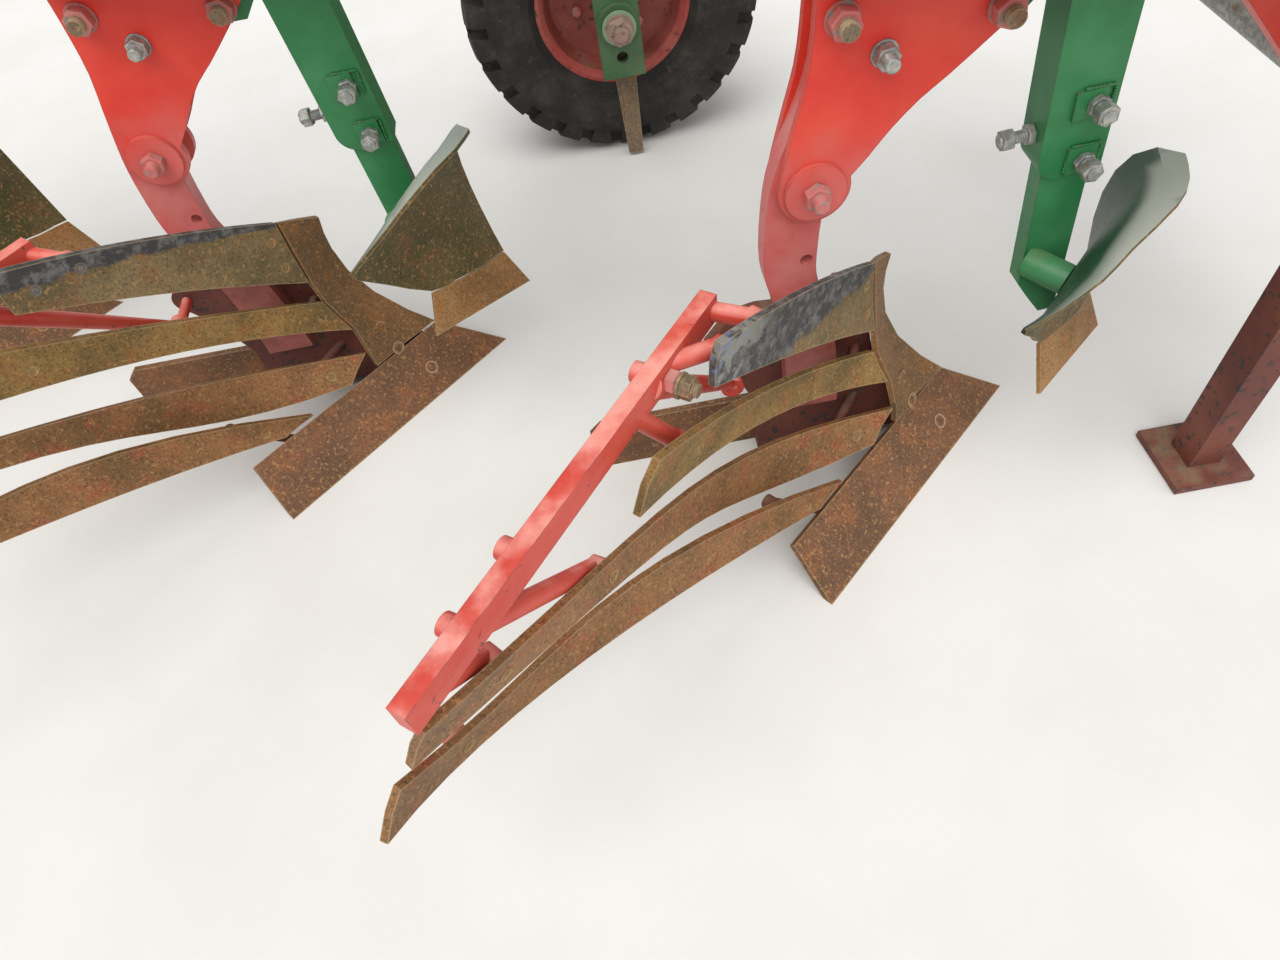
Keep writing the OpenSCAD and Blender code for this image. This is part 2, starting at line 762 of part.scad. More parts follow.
module mast() {
    color("#d63a30") in_frame() for (side = [-1, 1])
        plate_xz(cut_centre + (side < 0 ? -mast_gap / 2 - mast_t : mast_gap / 2), mast_t) difference() {
            union() {
                mast_outline();
                translate([mast_x, mast_z]) circle(r = mast_eye_r);
            }
            translate([mast_x, mast_z]) circle(d = top_hole_d);
            translate(brace_top) circle(d = leg_bolt_d + 2 * bolt_play);
        }
}

module mast_brace() {
    start = [brace_top[0], cut_centre, brace_top[1]];
    foot_y = beam_y(brace_foot_x) - 10;
    end = [brace_foot_x, foot_y, beam_top + 50];
    color("#d63a30") in_frame() {
        square_bar(start, end, brace_t, brace_h);
        translate([start[0], cut_centre + brace_t / 2, start[2]]) rotate([90, 0, 0])
            cylinder(h = brace_t, r = brace_h / 2);
        // cross pin into the mast plates
        translate([start[0], cut_centre + mast_gap / 2 + mast_t, start[2]]) rotate([90, 0, 0])
            cylinder(h = mast_gap + 2 * mast_t, d = leg_bolt_d);
        // foot on the beam and the post between them
        translate([brace_foot_x - brace_pad[0] / 2, foot_y - brace_pad[1] / 2, beam_top + seat]) cube(brace_pad);
        translate([brace_foot_x - brace_post[0] / 2, foot_y - brace_post[1] / 2, beam_top + 5]) cube(brace_post);
    }
}

// Plate under the cross tube that carries the lower link shaft
module link_bracket(side) {
    y = cut_centre + side * (link_bracket_in + link_bracket_t / 2) - link_bracket_t / 2;
    back = cross_x - beam_size / 2 - 40;
    difference() {
        union() {
            plate_xz(y, link_bracket_t) polygon([
                [back, beam_z - seat], [cross_x + beam_size / 2 + 20, beam_z - seat],
                [link_x + 40, link_z + 40], [link_x, link_z], [link_x - 45, link_z - 32],
                [back, beam_z - link_bracket_drop]
            ]);
            plate_xz(y, link_bracket_t) translate([link_x, link_z]) circle(r = link_eye_r);
        }
        plate_xz(y - 1, link_bracket_t + 2) translate([link_x, link_z]) circle(d = link_shaft_d + 2 * bolt_play);
    }
}

module link_bracket_left() {
    color("#d63a30") in_frame() link_bracket(1);
}

module link_bracket_right() {
    color("#d63a30") in_frame() link_bracket(-1);
}

module link_shaft() {
    color("#3a3a3a") in_frame() translate([link_x, cut_centre, link_z]) rotate([90, 0, 0]) {
        translate([0, 0, -link_spread / 2]) cylinder(h = link_spread, d = link_shaft_d);
        translate([0, 0, -link_spread / 2 - link_pin_len])
            cylinder(h = link_spread + 2 * link_pin_len, d = link_pin_d);
    }
}

// Parking stand

// Holes across the stand for its locking pin
module pin_holes(count) {
    for (k = [0:count]) translate([0, stand_leg_w, stand_pin_z - k * stand_travel / stand_holes])
        rotate([90, 0, 0]) cylinder(h = 2 * stand_leg_w, d = stand_pin_d);
}

module stand_sleeve() {
    inner = stand_leg_w + 2 * stand_play;
    outer = inner + 2 * stand_wall;
    back = cross_x + beam_size / 2 + seat;
    color("#2f7a3e") in_frame() {
        translate([stand_x, stand_y, 0]) difference() {
            translate([0, 0, stand_sleeve_z]) linear_extrude(stand_sleeve_h) difference() {
                square(outer, center = true);
                square(inner, center = true);
            }
            pin_holes(0);
        }
        // weld plate against the cross tube
        translate([back, stand_y - 45, beam_z]) cube([stand_x - outer / 2 - back, 90, beam_size]);
    }
}

module stand_leg() {
    inside = stand_leg_w - 2 * stand_leg_wall;
    foot_z = stand_floor_gap + stand_foot[1];
    color("#4a4a4a") in_frame() translate([stand_x, stand_y, 0]) {
        difference() {
            translate([-stand_leg_w / 2, -stand_leg_w / 2, foot_z - weld])
                cube([stand_leg_w, stand_leg_w, beam_top + 18]);
            translate([-inside / 2, -inside / 2, foot_z]) cube([inside, inside, beam_top + 40]);
            pin_holes(stand_holes);
        }
        translate([-stand_foot[0] / 2, -stand_foot[0] / 2, stand_floor_gap])
            cube([stand_foot[0], stand_foot[0], stand_foot[1]]);
    }
}

// Depth wheel

// Lays a piece out along the beam, from the beam's middle line at the wheel
module beside_beam() {
    translate([wheel_x, beam_y(wheel_x), 0]) rotate([0, 0, atan2(-furrow_w, body_pitch)]) children();
}

module wheel_arm() {
    color("#2f7a3e") in_frame() {
        difference() {
            translate([wheel_x - arm_size / 2, beam_y(wheel_x), arm_z - arm_size / 2])
                cube([arm_size, wheel_leg_y - sleeve_play - sleeve_wall - seat - beam_y(wheel_x), arm_size]);
            // cut along the beam's side
            beside_beam() translate([-beyond / 2, beam_size / 2 + arm_flange[1] - weld - beyond, 0]) cube(beyond);
        }
        // flange on the beam's side
        beside_beam() translate([arm_flange_x, beam_size / 2 + seat, beam_z + 5])
            cube([arm_flange[0], arm_flange[1], beam_size - 10]);
    }
}

module wheel_sleeve() {
    inner = [wheel_leg_w + 2 * sleeve_play, wheel_leg_t + 2 * sleeve_play];
    color("#2f7a3e") in_frame() translate([wheel_x, wheel_leg_y + wheel_leg_t / 2, sleeve_z])
        linear_extrude(sleeve_h) difference() {
            square(inner + 2 * [sleeve_wall, sleeve_wall], center = true);
            square(inner, center = true);
        }
}

module wheel_screw() {
    y = wheel_leg_y + wheel_leg_t / 2;
    lug_x = wheel_x + wheel_leg_w / 2 + sleeve_play + sleeve_wall + seat;
    screw_foot = sleeve_z + 40;
    screw_top = wheel_leg_top + wheel_travel + screw_over;
    color("#8a8a8a") in_frame() {
        translate([screw_x, y, screw_foot]) cylinder(h = screw_top - screw_foot, d = screw_d);
        // bearing lug on the sleeve's front
        translate([lug_x, y - 20, sleeve_z + 30]) cube([screw_x + 20 - lug_x, 40, 60]);
        // crank and its grip
        translate([screw_x, y, screw_top]) {
            translate([-15, -15, 0]) cube([crank_len + 30, 30, 12]);
            translate([crank_len, 0, 0]) cylinder(h = crank_grip_h, d = 26);
        }
    }
}

module wheel_leg() {
    y = wheel_leg_y + wheel_leg_t / 2;
    edge_x = wheel_x + wheel_leg_w / 2;
    color("#2f7a3e") in_frame() {
        difference() {
            union() {
                plate_xz(wheel_leg_y, wheel_leg_t) translate([wheel_x - wheel_leg_w / 2, wheel_leg_foot])
                    square([wheel_leg_w, wheel_leg_top - wheel_leg_foot]);
                // nut block that the screw passes through
                translate([edge_x - weld, y - 22, wheel_leg_top - nut_block_h - 10])
                    cube([screw_x + 24 - edge_x, 44, nut_block_h]);
            }
            translate([screw_x, y, 0]) cylinder(h = beyond, d = screw_d + 2 * bolt_play);
            plate_xz(wheel_leg_y - 1, wheel_leg_t + 2)
                translate([wheel_x, wheel_z - wheel_leg_hole[0]]) circle(d = wheel_leg_hole[1]);
        }
        // stub axle with its boss and ring on the leg's outer face
        translate([wheel_x, wheel_leg_y, wheel_z]) rotate([-90, 0, 0]) {
            translate([0, 0, -axle_boss[1]]) cylinder(h = axle_boss[1], r = axle_boss[0]);
            translate([0, 0, -axle_ring[1]]) cylinder(h = axle_ring[1], r = axle_ring[0]);
            cylinder(h = wheel_y - wheel_leg_y + hub_half - 8, r = axle_r);
            // spacer up to the hub
            cylinder(h = wheel_y - hub_half - bolt_play - wheel_leg_y, d = spacer_d);
        }
    }
}

// Scraper plate that hangs from the wheel leg, and narrows downwards
scraper_t = 8;
scraper_x = wheel_x + 2;

module wheel_scraper() {
    color("#7a4a34") in_frame() plate_xz(wheel_leg_y + wheel_leg_t + seat, scraper_t)
        polygon([[scraper_x - 25, 275], [scraper_x + 25, 275], [scraper_x + 20, 8], [scraper_x - 14, 8]]);
}

// Puts a turned piece on the wheel's axle
module on_axle() {
    in_frame() translate([wheel_x, wheel_y, wheel_z]) rotate([-90, 0, 0]) children();
}

module wheel_rim() {
    r = rim_d / 2;
    bore_r = axle_r + hub_play;
    color("#8e2f27") on_axle() rotate_extrude($fn = 72) polygon([
        [bore_r, -hub_half], [hub_r, -hub_half], [hub_r, -20], [r - 20, -20], [r - 7, -rim_half + 7],
        [rim_flange_r - 8, -rim_half - 5], [rim_flange_r, -rim_half - 5], [rim_flange_r, -rim_half],
        [r, -rim_half + 4], [r - 14, -20], [r - 14, 20],
        [r, rim_half - 4], [rim_flange_r, rim_half], [rim_flange_r, rim_half + 5],
        [rim_flange_r - 8, rim_half + 5], [r - 7, rim_half - 7], [r - 20, 12],
        [r - 20, -8], [hub_r, -8], [hub_r, hub_half], [bore_r, hub_half]
    ]);
}

// Cuts the gap between two lugs on one shoulder
module tyre_gap(side) {
    r = tyre_d / 2;
    w = tyre_w / 2;
    rotate([90, 0, 0]) translate([0, 0, -tyre_lug_gap / 2]) linear_extrude(tyre_lug_gap) polygon([
        for (p = [[r - tyre_lug_h, tyre_rib], [r - tyre_lug_h, w - 20], [r - tyre_gap_down, w - 12],
                  [r - tyre_gap_down, w + 5], [r + 5, w + 5], [r + 5, tyre_rib]]) [p[0], side * p[1]]
    ]);
}

module wheel_tyre() {
    r = tyre_d / 2;
    w = tyre_w / 2;
    bead_r = rim_flange_r + 0.6;
    color("#2b2b2b") on_axle() difference() {
        rotate_extrude($fn = 72) polygon([
            [rim_d / 2 + 0.5, -rim_half + 5], [bead_r, -rim_half + 1], [bead_r, -rim_half - 6],
            [rim_flange_r + 14, -w + 6], [r - 75, -w], [r - 30, -w + 2], [r - 8, -w + 14], [r, -w + 40],
            [r, w - 40], [r - 8, w - 14], [r - 30, w - 2], [r - 75, w], [rim_flange_r + 14, w - 6],
            [bead_r, rim_half + 6], [bead_r, rim_half - 1], [rim_d / 2 + 0.5, rim_half - 5]
        ]);
        for (k = [0:tyre_lugs - 1]) for (side = [-1, 1])
            rotate([0, 0, (k + (side > 0 ? 0.5 : 0)) * 360 / tyre_lugs]) tyre_gap(side);
    }
}

for (i = [1:3]) {
    leg(i);
    leg_clamp(i);
    shank(i);
    frog(i);
    share(i);
    shin(i);
    slats(i);
    landside(i);
    stay(i);
    skimmer_holder(i);
    skimmer_stem(i);
    skimmer_board(i);
    skimmer_share(i);
}
main_beam();
cross_tube();
mast();
mast_brace();
link_bracket_left();
link_bracket_right();
link_shaft();
stand_sleeve();
stand_leg();
wheel_arm();
wheel_sleeve();
wheel_screw();
wheel_leg();
wheel_scraper();
wheel_rim();
wheel_tyre();
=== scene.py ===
"""Looks of a three-furrow mounted plough with slatted moldboards, skimmers and a depth wheel.

Metres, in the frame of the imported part: +X is the direction of travel, +Y the unploughed land, +Z up.
Sizes beside a body are given from that body's own corner: x from the pivot bolt, y from the outer
face of the leg's right plate, z from the ground.
"""
import json
import math
import random
import bpy
from mathutils import Matrix, Vector


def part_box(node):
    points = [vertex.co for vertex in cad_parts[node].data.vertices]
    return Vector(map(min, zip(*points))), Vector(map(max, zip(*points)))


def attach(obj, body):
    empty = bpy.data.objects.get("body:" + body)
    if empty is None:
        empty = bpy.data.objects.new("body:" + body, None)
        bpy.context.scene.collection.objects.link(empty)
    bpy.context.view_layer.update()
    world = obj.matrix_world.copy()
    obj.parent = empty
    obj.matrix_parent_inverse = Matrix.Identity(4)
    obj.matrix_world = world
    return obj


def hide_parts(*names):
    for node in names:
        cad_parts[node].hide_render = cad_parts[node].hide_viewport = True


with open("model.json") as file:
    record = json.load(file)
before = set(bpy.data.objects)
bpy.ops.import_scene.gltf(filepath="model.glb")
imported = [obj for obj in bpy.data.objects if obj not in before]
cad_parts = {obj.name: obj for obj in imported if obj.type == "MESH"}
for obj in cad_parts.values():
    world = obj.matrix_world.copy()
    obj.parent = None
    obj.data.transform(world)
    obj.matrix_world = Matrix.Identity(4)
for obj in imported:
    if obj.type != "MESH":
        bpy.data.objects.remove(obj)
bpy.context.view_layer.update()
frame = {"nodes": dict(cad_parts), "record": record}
nodes = frame["nodes"]

MM = 0.001
BODIES = (1, 2, 3)

# The landside's front end as x and its outer face as y, in mm from the body's corner
LAND_FRONT, LAND_FACE = 300, 95


def corner_of(i):
    """The corner of body i that its sizes are given from."""
    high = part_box(f"landside_{i}")[1]
    return Vector((high.x, high.y, 0)) - Vector((LAND_FRONT, LAND_FACE, 0)) * MM


CORNERS = {i: corner_of(i) for i in BODIES}

# Which body a CAD node moves with, from the record
BODY_OF = {node: body for body, names in frame["record"]["behaviour"]["bodies"].items() for node in names}

# Camera: where it stands beside the front body, how it looks, and its lens
CAMERA_FROM_CORNER = Vector((-257, -832, 1161)) * MM
CAMERA_YAW, CAMERA_PITCH, CAMERA_ROLL = -0.4688, 53.0989, -11.1175
CAMERA_LENS, SENSOR_WIDTH = 24.12, 36.0


def srgb(code):
    """A linear colour with full alpha from an sRGB hex code."""
    parts = [int(code[k:k + 2], 16) / 255 for k in (1, 3, 5)]
    line = [p / 12.92 if p <= 0.04045 else ((p + 0.055) / 1.055) ** 2.4 for p in parts]
    return (*line, 1.0)


# Settings that several shader nodes share: a noise's roughness, soft steps, and arithmetic from 0 to 1
NOISE = {"Roughness": 0.55}
SOFT_STEP = {"interpolation_type": "SMOOTHSTEP"}
SUM = {"operation": "ADD", "use_clamp": True}
DIFFERENCE = {"operation": "SUBTRACT", "use_clamp": True}
PRODUCT = {"operation": "MULTIPLY", "use_clamp": True}
GREATER = {"operation": "MAXIMUM", "use_clamp": True}
SCALED_SUM = {"operation": "MULTIPLY_ADD", "use_clamp": True}


def add(tree, kind, settings, out=0):
    """Adds a shader node, sets or links its properties and sockets by name or number, gives one output."""
    made = tree.nodes.new("ShaderNode" + kind)
    for name, value in settings.items():
        if isinstance(value, bpy.types.NodeSocket):
            tree.links.new(value, made.inputs[name])
        elif isinstance(name, str) and hasattr(made, name):
            setattr(made, name, value)
        else:
            made.inputs[name].default_value = srgb(value) if isinstance(value, str) else value
    return made.outputs[out]


def new_material(name):
    """An empty material with its shader and its output."""
    material = bpy.data.materials.new(name)
    material.use_nodes = True
    tree = material.node_tree
    tree.nodes.clear()
    shader = tree.nodes.new("ShaderNodeBsdfPrincipled")
    output = tree.nodes.new("ShaderNodeOutputMaterial")
    tree.links.new(shader.outputs["BSDF"], output.inputs["Surface"])
    return material, tree, shader


def patches(tree, place, size, detail, low, high, rough=0.55):
    """Ragged patches, the largest about size mm across: 0 where the noise is low, 1 where it is high."""
    noise = {"Vector": place, "Scale": 1 / (size * MM), "Detail": detail, "Roughness": rough}
    height = add(tree, "TexNoise", noise)
    return add(tree, "MapRange", SOFT_STEP | {"Value": height, "From Min": low, "From Max": high})


def cover(tree, colour, coat, where, thick=1.0):
    """A colour under a coat that lies where a pattern is 1 and hides a share, thick, of what is below."""
    share = add(tree, "Math", PRODUCT | {0: where, 1: thick})
    return add(tree, "Mix", {"data_type": "RGBA", 0: share, 6: colour, 7: coat}, 2)


def worn_edges(tree, radius, low, high):
    """1 along the piece's outer edges, 0 on its flats."""
    rounded = add(tree, "Bevel", {"samples": 4, "Radius": radius})
    flat = add(tree, "NewGeometry", {}, "Normal")
    likeness = add(tree, "VectorMath", {"operation": "DOT_PRODUCT", 0: rounded, 1: flat}, "Value")
    turned = add(tree, "Math", DIFFERENCE | {0: 1.0, 1: likeness})
    return add(tree, "MapRange", SOFT_STEP | {"Value": turned, "From Min": low, "From Max": high})


def upward(tree, low, high):
    """1 where the surface faces the sky."""
    facing = add(tree, "NewGeometry", {}, "Normal")
    level = add(tree, "SeparateXYZ", {"Vector": facing}, "Z")
    return add(tree, "MapRange", SOFT_STEP | {"Value": level, "From Min": low, "From Max": high})


def below(tree, place, height, depth):
    """1 below a height in metres, fading to 0 over a depth above it, with a ragged edge."""
    wave = add(tree, "TexNoise", NOISE | {"Vector": place, "Scale": 1 / (62.5 * MM), "Detail": 6})
    level = add(tree, "SeparateXYZ", {"Vector": place}, "Z")
    raised = add(tree, "Math", SCALED_SUM | {0: wave, 1: 0.12, 2: level})
    return add(tree, "MapRange", SOFT_STEP | {"Value": raised, "From Min": height, "From Max": height + depth,
                                              "To Min": 1.0, "To Max": 0.0})


def roughen(tree, shader, height, strength, distance, edge=0.0):
    """Relief of a pattern's height, on edges rounded by a radius."""
    settings = {"Strength": strength, "Distance": distance, "Height": height}
    if edge:
        settings["Normal"] = add(tree, "Bevel", {"samples": 4, "Radius": edge})
    tree.links.new(add(tree, "Bump", settings), shader.inputs["Normal"])


def enamel(name, coat, faded, bare, dust_and_sheen="#8f8468", chips=0.64, rough=0.42, dust_and_sheen_share=0.5, sky=(0.35, 1.0),
           lying=(0.35, 0.7), scour=None):
    """Sprayed enamel on steel: an even coat that bleaches, chips to rust, and gathers dust on top, which on
    some enamels is a painted highlight of the sky instead.

    chips is the height of the noise past which the coat has flaked off. dust_and_sheen is the colour laid on
    upward faces, dust on most enamels and a painted highlight of the sky on some, and dust_and_sheen_share
    how much of it is laid. sky is how level a face is where that colour starts and where it lies in full,
    and lying how ragged it is. scour is [height, colour]: below that height in metres above the ground the
    soil has rubbed the coat dull.
    """
    material, tree, shader = new_material(name)
    place = add(tree, "TexCoord", {}, "Object")
    colour = cover(tree, coat, faded, patches(tree, place, 143, 5, 0.4, 0.7))
    if scour:
        height, rubbed = scour
        colour = cover(tree, colour, rubbed, below(tree, place, height, 0.1), 0.85)
    colour = cover(tree, colour, faded, patches(tree, place, 16.67, 6, 0.3, 0.75), 0.28)
    knocks = patches(tree, place, 25, 5, 0.42, 0.6)
    edge = add(tree, "Math", PRODUCT | {0: worn_edges(tree, 2.2 * MM, 0.02, 0.16), 1: knocks})
    spots = patches(tree, place, 13.33, 8, chips, chips + 0.035, 0.65)
    bared = add(tree, "Math", GREATER | {0: edge, 1: spots})
    colour = cover(tree, colour, bare, bared)
    # Colour on faces turned up: dust on most enamels, a painted highlight of the sky on the stay bar's and
    # skimmer board's
    dust_and_sheen_patches = patches(tree, place, 45.5, 6, *lying)
    dust_and_sheen_cover = add(tree, "Math", PRODUCT | {0: upward(tree, *sky), 1: dust_and_sheen_patches})
    colour = cover(tree, colour, dust_and_sheen, dust_and_sheen_cover, dust_and_sheen_share)
    tree.links.new(colour, shader.inputs["Base Color"])
    roughness = add(tree, "Math", SCALED_SUM | {0: bared, 1: 0.4, 2: rough})
    roughness = add(tree, "Math", SCALED_SUM | {0: dust_and_sheen_cover, 1: 0.3, 2: roughness})
    tree.links.new(roughness, shader.inputs["Roughness"])
    # Orange peel of the spray, drawn at 4 mm because the real 1 mm is too fine to show
    peel = add(tree, "TexNoise", NOISE | {"Vector": place, "Scale": 1 / (3.846 * MM), "Detail": 3})
    roughen(tree, shader, peel, 0.35, 0.2 * MM, 1.2 * MM)
    shader.inputs["Specular IOR Level"].default_value = 0.45
    return material


def scoured(name, tan, olive, rust, dark, painted=False):
    """Soil-scoured steel plate left to rust: a thin brown bloom, pitted, with orange patches.

    tan and olive are the bloom's two tones, rust is the patches' colour and dark the pits'.
    """
    material, tree, shader = new_material(name)
    place = add(tree, "TexCoord", {}, "Object")
    colour = cover(tree, olive, tan, patches(tree, place, 111, 6, 0.36, 0.62, 0.6))
    colour = cover(tree, colour, rust, patches(tree, place, 38.5, 7, 0.5, 0.66, 0.65), 0.75)
    # Pits and specks of 1 to 2 mm, drawn two to three times as coarse because they are too fine to show
    pits = add(tree, "TexNoise", {"Vector": place, "Scale": 1 / (3.571 * MM), "Detail": 6, "Roughness": 0.7})
    sunk = add(tree, "MapRange", SOFT_STEP | {"Value": pits, "From Min": 0.5, "From Max": 0.62})
    colour = cover(tree, colour, dark, sunk, 0.7)
    colour = cover(tree, colour, "#bd8f58", patches(tree, place, 5.882, 6, 0.54, 0.64, 0.7), 0.6)
    if painted:
        scratched, left = old_paint(tree, place)
        colour = cover(tree, colour, scratched, left, 0.93)
    # Pale tan along the edges: polished wear, and a painted highlight where the edges catch the light
    colour = cover(tree, colour, "#b8a27c", worn_edges(tree, 3.0 * MM, 0.03, 0.2), 0.75)
    tree.links.new(colour, shader.inputs["Base Color"])
    shader.inputs["Metallic"].default_value = 0.25
    bloom = add(tree, "TexNoise", NOISE | {"Vector": place, "Scale": 1 / (25 * MM), "Detail": 5})
    roughness = add(tree, "Math", SCALED_SUM | {0: bloom, 1: 0.3, 2: 0.5})
    tree.links.new(roughness, shader.inputs["Roughness"])
    waves = add(tree, "TexNoise", NOISE | {"Vector": place, "Scale": 1 / (11.1 * MM), "Detail": 5})
    roughen(tree, shader, add(tree, "Math", SCALED_SUM | {0: waves, 1: 0.6, 2: pits}), 0.5, 0.7 * MM)
    return material


# Grey and blue tints on the painted slat's tail: colour, how far along the slat they start and are full, then
# the size in mm, the detail and the edges of their patches
TAIL_TINTS = [("#9a9b93", 0.62, 0.9, 25, 6, 0.46, 0.56), ("#6f86b4", 0.8, 0.97, 13.33, 5, 0.55, 0.62)]


def old_paint(tree, place):
    """What is left of a slat's black paint and where: a band under its top edge that widens to the tail."""
    from_top = add(tree, "Attribute", {"attribute_name": "from_top"}, "Fac")
    along = add(tree, "Attribute", {"attribute_name": "along"}, "Fac")
    wave = add(tree, "TexNoise", NOISE | {"Vector": place, "Scale": 1 / (38.5 * MM), "Detail": 7})
    depth = add(tree, "Math", SCALED_SUM | {0: wave, 1: 0.05, 2: from_top})
    band = add(tree, "Math", SCALED_SUM | {0: along, 1: 0.1, 2: 0.035})
    past = add(tree, "Math", DIFFERENCE | {0: depth, 1: band})
    left = add(tree, "MapRange", SOFT_STEP | {"Value": past, "From Max": 0.014, "To Min": 1.0, "To Max": 0.0})
    paint_colour = cover(tree, "#35363a", "#6c6c6c", patches(tree, place, 18.2, 7, 0.45, 0.62, 0.7))
    for colour, start, full, *spots in TAIL_TINTS:
        tail = add(tree, "MapRange", SOFT_STEP | {"Value": along, "From Min": start, "From Max": full})
        tail_tint = add(tree, "Math", PRODUCT | {0: tail, 1: patches(tree, place, *spots)})
        paint_colour = cover(tree, paint_colour, colour, tail_tint, 0.8)
    return paint_colour, left


def zinc(name):
    """Zinc-plated fasteners gone dull: soft grey with rust creeping from the corners."""
    material, tree, shader = new_material(name)
    place = add(tree, "TexCoord", {}, "Object")
    colour = cover(tree, "#8d908c", "#b4b4ac", patches(tree, place, 8.333, 5, 0.4, 0.65))
    colour = cover(tree, colour, "#7c5134", patches(tree, place, 16.67, 7, 0.55, 0.68, 0.65), 0.7)
    tree.links.new(colour, shader.inputs["Base Color"])
    shader.inputs["Metallic"].default_value = 0.6
    shader.inputs["Roughness"].default_value = 0.48
    grain = add(tree, "TexNoise", NOISE | {"Vector": place, "Scale": 1 / (2 * MM), "Detail": 4})
    roughen(tree, shader, grain, 0.25, 0.4 * MM, 0.8 * MM)
    return material


def tyre_rubber(name):
    """Carbon-black rubber, weathered grey and grimed with dry soil in its low places."""
    material, tree, shader = new_material(name)
    place = add(tree, "TexCoord", {}, "Object")
    colour = cover(tree, "#262524", "#3d3a35", patches(tree, place, 71.4, 6, 0.4, 0.7, 0.6))
    colour = cover(tree, colour, "#5c5343", patches(tree, place, 20.83, 7, 0.56, 0.72, 0.68), 0.5)
    tree.links.new(colour, shader.inputs["Base Color"])
    shader.inputs["Roughness"].default_value = 0.82
    shader.inputs["Specular IOR Level"].default_value = 0.35
    cracks = add(tree, "TexNoise", NOISE | {"Vector": place, "Scale": 1 / (6.25 * MM), "Detail": 5})
    swells = add(tree, "TexNoise", NOISE | {"Vector": place, "Scale": 1 / (55.6 * MM), "Detail": 3})
    roughen(tree, shader, add(tree, "Math", SCALED_SUM | {0: swells, 1: 0.6, 2: cracks}), 0.4, 0.8 * MM)
    return material


# Sprayed enamels: smooth and bright where whole, paler and duller where sun, soil or hands have been at them
RED = enamel("red_enamel", "#d02d1f", "#db4632", "#8a4a3a", chips=0.69, dust_and_sheen_share=0.2, scour=[0.59, "#c4645e"])
PINK = enamel("soil_rubbed_red_enamel", "#c85652", "#cf7a73", "#8a5a52", chips=0.66, dust_and_sheen_share=0.25,
              scour=[0.34, "#7d4a40"])
# The stay bar's enamel: its pale pink on faces turned up is a painted highlight of the sky along the bar's
# top
SALMON = enamel("sun_bleached_red_enamel_with_painted_highlight", "#c43a2d", "#d45a4a", "#6d4a44", chips=0.64, dust_and_sheen="#efaa9c",
                dust_and_sheen_share=0.75)
GREEN = enamel("green_enamel", "#1c6e39", "#38834f", "#5d5a48", dust_and_sheen_share=0.35, chips=0.68)
# The stem's green is the holder's green made lighter: painted light that makes up for the shade the stem lies
# in
STEM_GREEN_WITH_PAINTED_LIGHT = enamel("stem_green_enamel_painted_lighter", "#2c7c45", "#4a9060", "#5d5a48", dust_and_sheen_share=0.35, chips=0.68)
GRIMY_GREEN = enamel("grimy_green_enamel", "#2f6038", "#55724f", "#5d5a48", chips=0.62, rough=0.55,
                     dust_and_sheen_share=0.35)
# The skimmer board's back: the pale grey-green on its faces turned up is dust with a painted reflection of
# the sky, which lights the upturned flank along its free edge
DARK_GREEN = enamel("soil_rubbed_green_enamel_with_painted_sheen", "#183c26", "#244a31", "#3a3f34", dust_and_sheen="#a6ab9f", chips=0.62,
                    dust_and_sheen_share=0.9, sky=(0.66, 0.88), lying=(0.15, 0.45), scour=[0.37, "#43382a"])
PRIMER = enamel("red_oxide_primer", "#5c2a22", "#76402f", "#3e3a38", chips=0.57, rough=0.6, dust_and_sheen_share=0.45)
RIM_RED = enamel("rim_enamel", "#82362e", "#985046", "#463630", chips=0.6, rough=0.55, dust_and_sheen_share=0.35)
RIM_EDGE = enamel("rim_edge_enamel", "#a8403a", "#b86c60", "#6e4a40", chips=0.6, rough=0.5, dust_and_sheen_share=0.3)
NUT_RED = enamel("overpainted_nut_enamel", "#b85c56", "#cb8880", "#8d7f78", chips=0.56, rough=0.5, dust_and_sheen_share=0.3)
GRIMY_NUT = enamel("grimy_nut_enamel", "#96776a", "#a88d80", "#7a6a60", chips=0.56, rough=0.55, dust_and_sheen_share=0.3)
PALE_GREEN = enamel("pale_green_enamel", "#7f9f80", "#93ad90", "#5d5a48", chips=0.6, rough=0.5, dust_and_sheen_share=0.4)
OLD_PAINT = enamel("old_black_paint", "#45464a", "#6c6c6c", "#84704c", chips=0.58, rough=0.55, dust_and_sheen_share=0.3)
# Steel scoured by the soil: brown and dull with a little metal in it, each as rusty as its part
TOP_SLAT = scoured("scoured_slat_with_old_paint", "#84704c", "#645737", "#85603c", "#3c3326", painted=True)
SLAT = scoured("scoured_slat_steel", "#94743e", "#6d582e", "#96602f", "#3d2d1e")
LOW_SLAT = scoured("rusty_slat_steel", "#94683f", "#73532f", "#9a5235", "#3b2a1b")
SHIN_STEEL = scoured("scoured_shin_steel", "#8a623c", "#6e5434", "#91602f", "#3b2b1c")
SHARE_STEEL = scoured("rusty_share_steel", "#7c5438", "#654730", "#8f5a34", "#3a291c")
RING_STEEL = scoured("bright_ring_steel", "#b09070", "#96785a", "#a06a44", "#5a4432")
BOARD_STEEL = scoured("scoured_board_steel", "#675a36", "#4d4a26", "#74522f", "#332b1b")
TIP_STEEL = scoured("rusty_tip_steel", "#a27a4c", "#856238", "#ac7038", "#4c3622")
SCRAPER_STEEL = scoured("rusty_scraper_steel", "#82705a", "#685a48", "#83583a", "#3a2e24")
ZINC = zinc("zinc_plated_steel")
RUBBER = tyre_rubber("tyre_rubber")

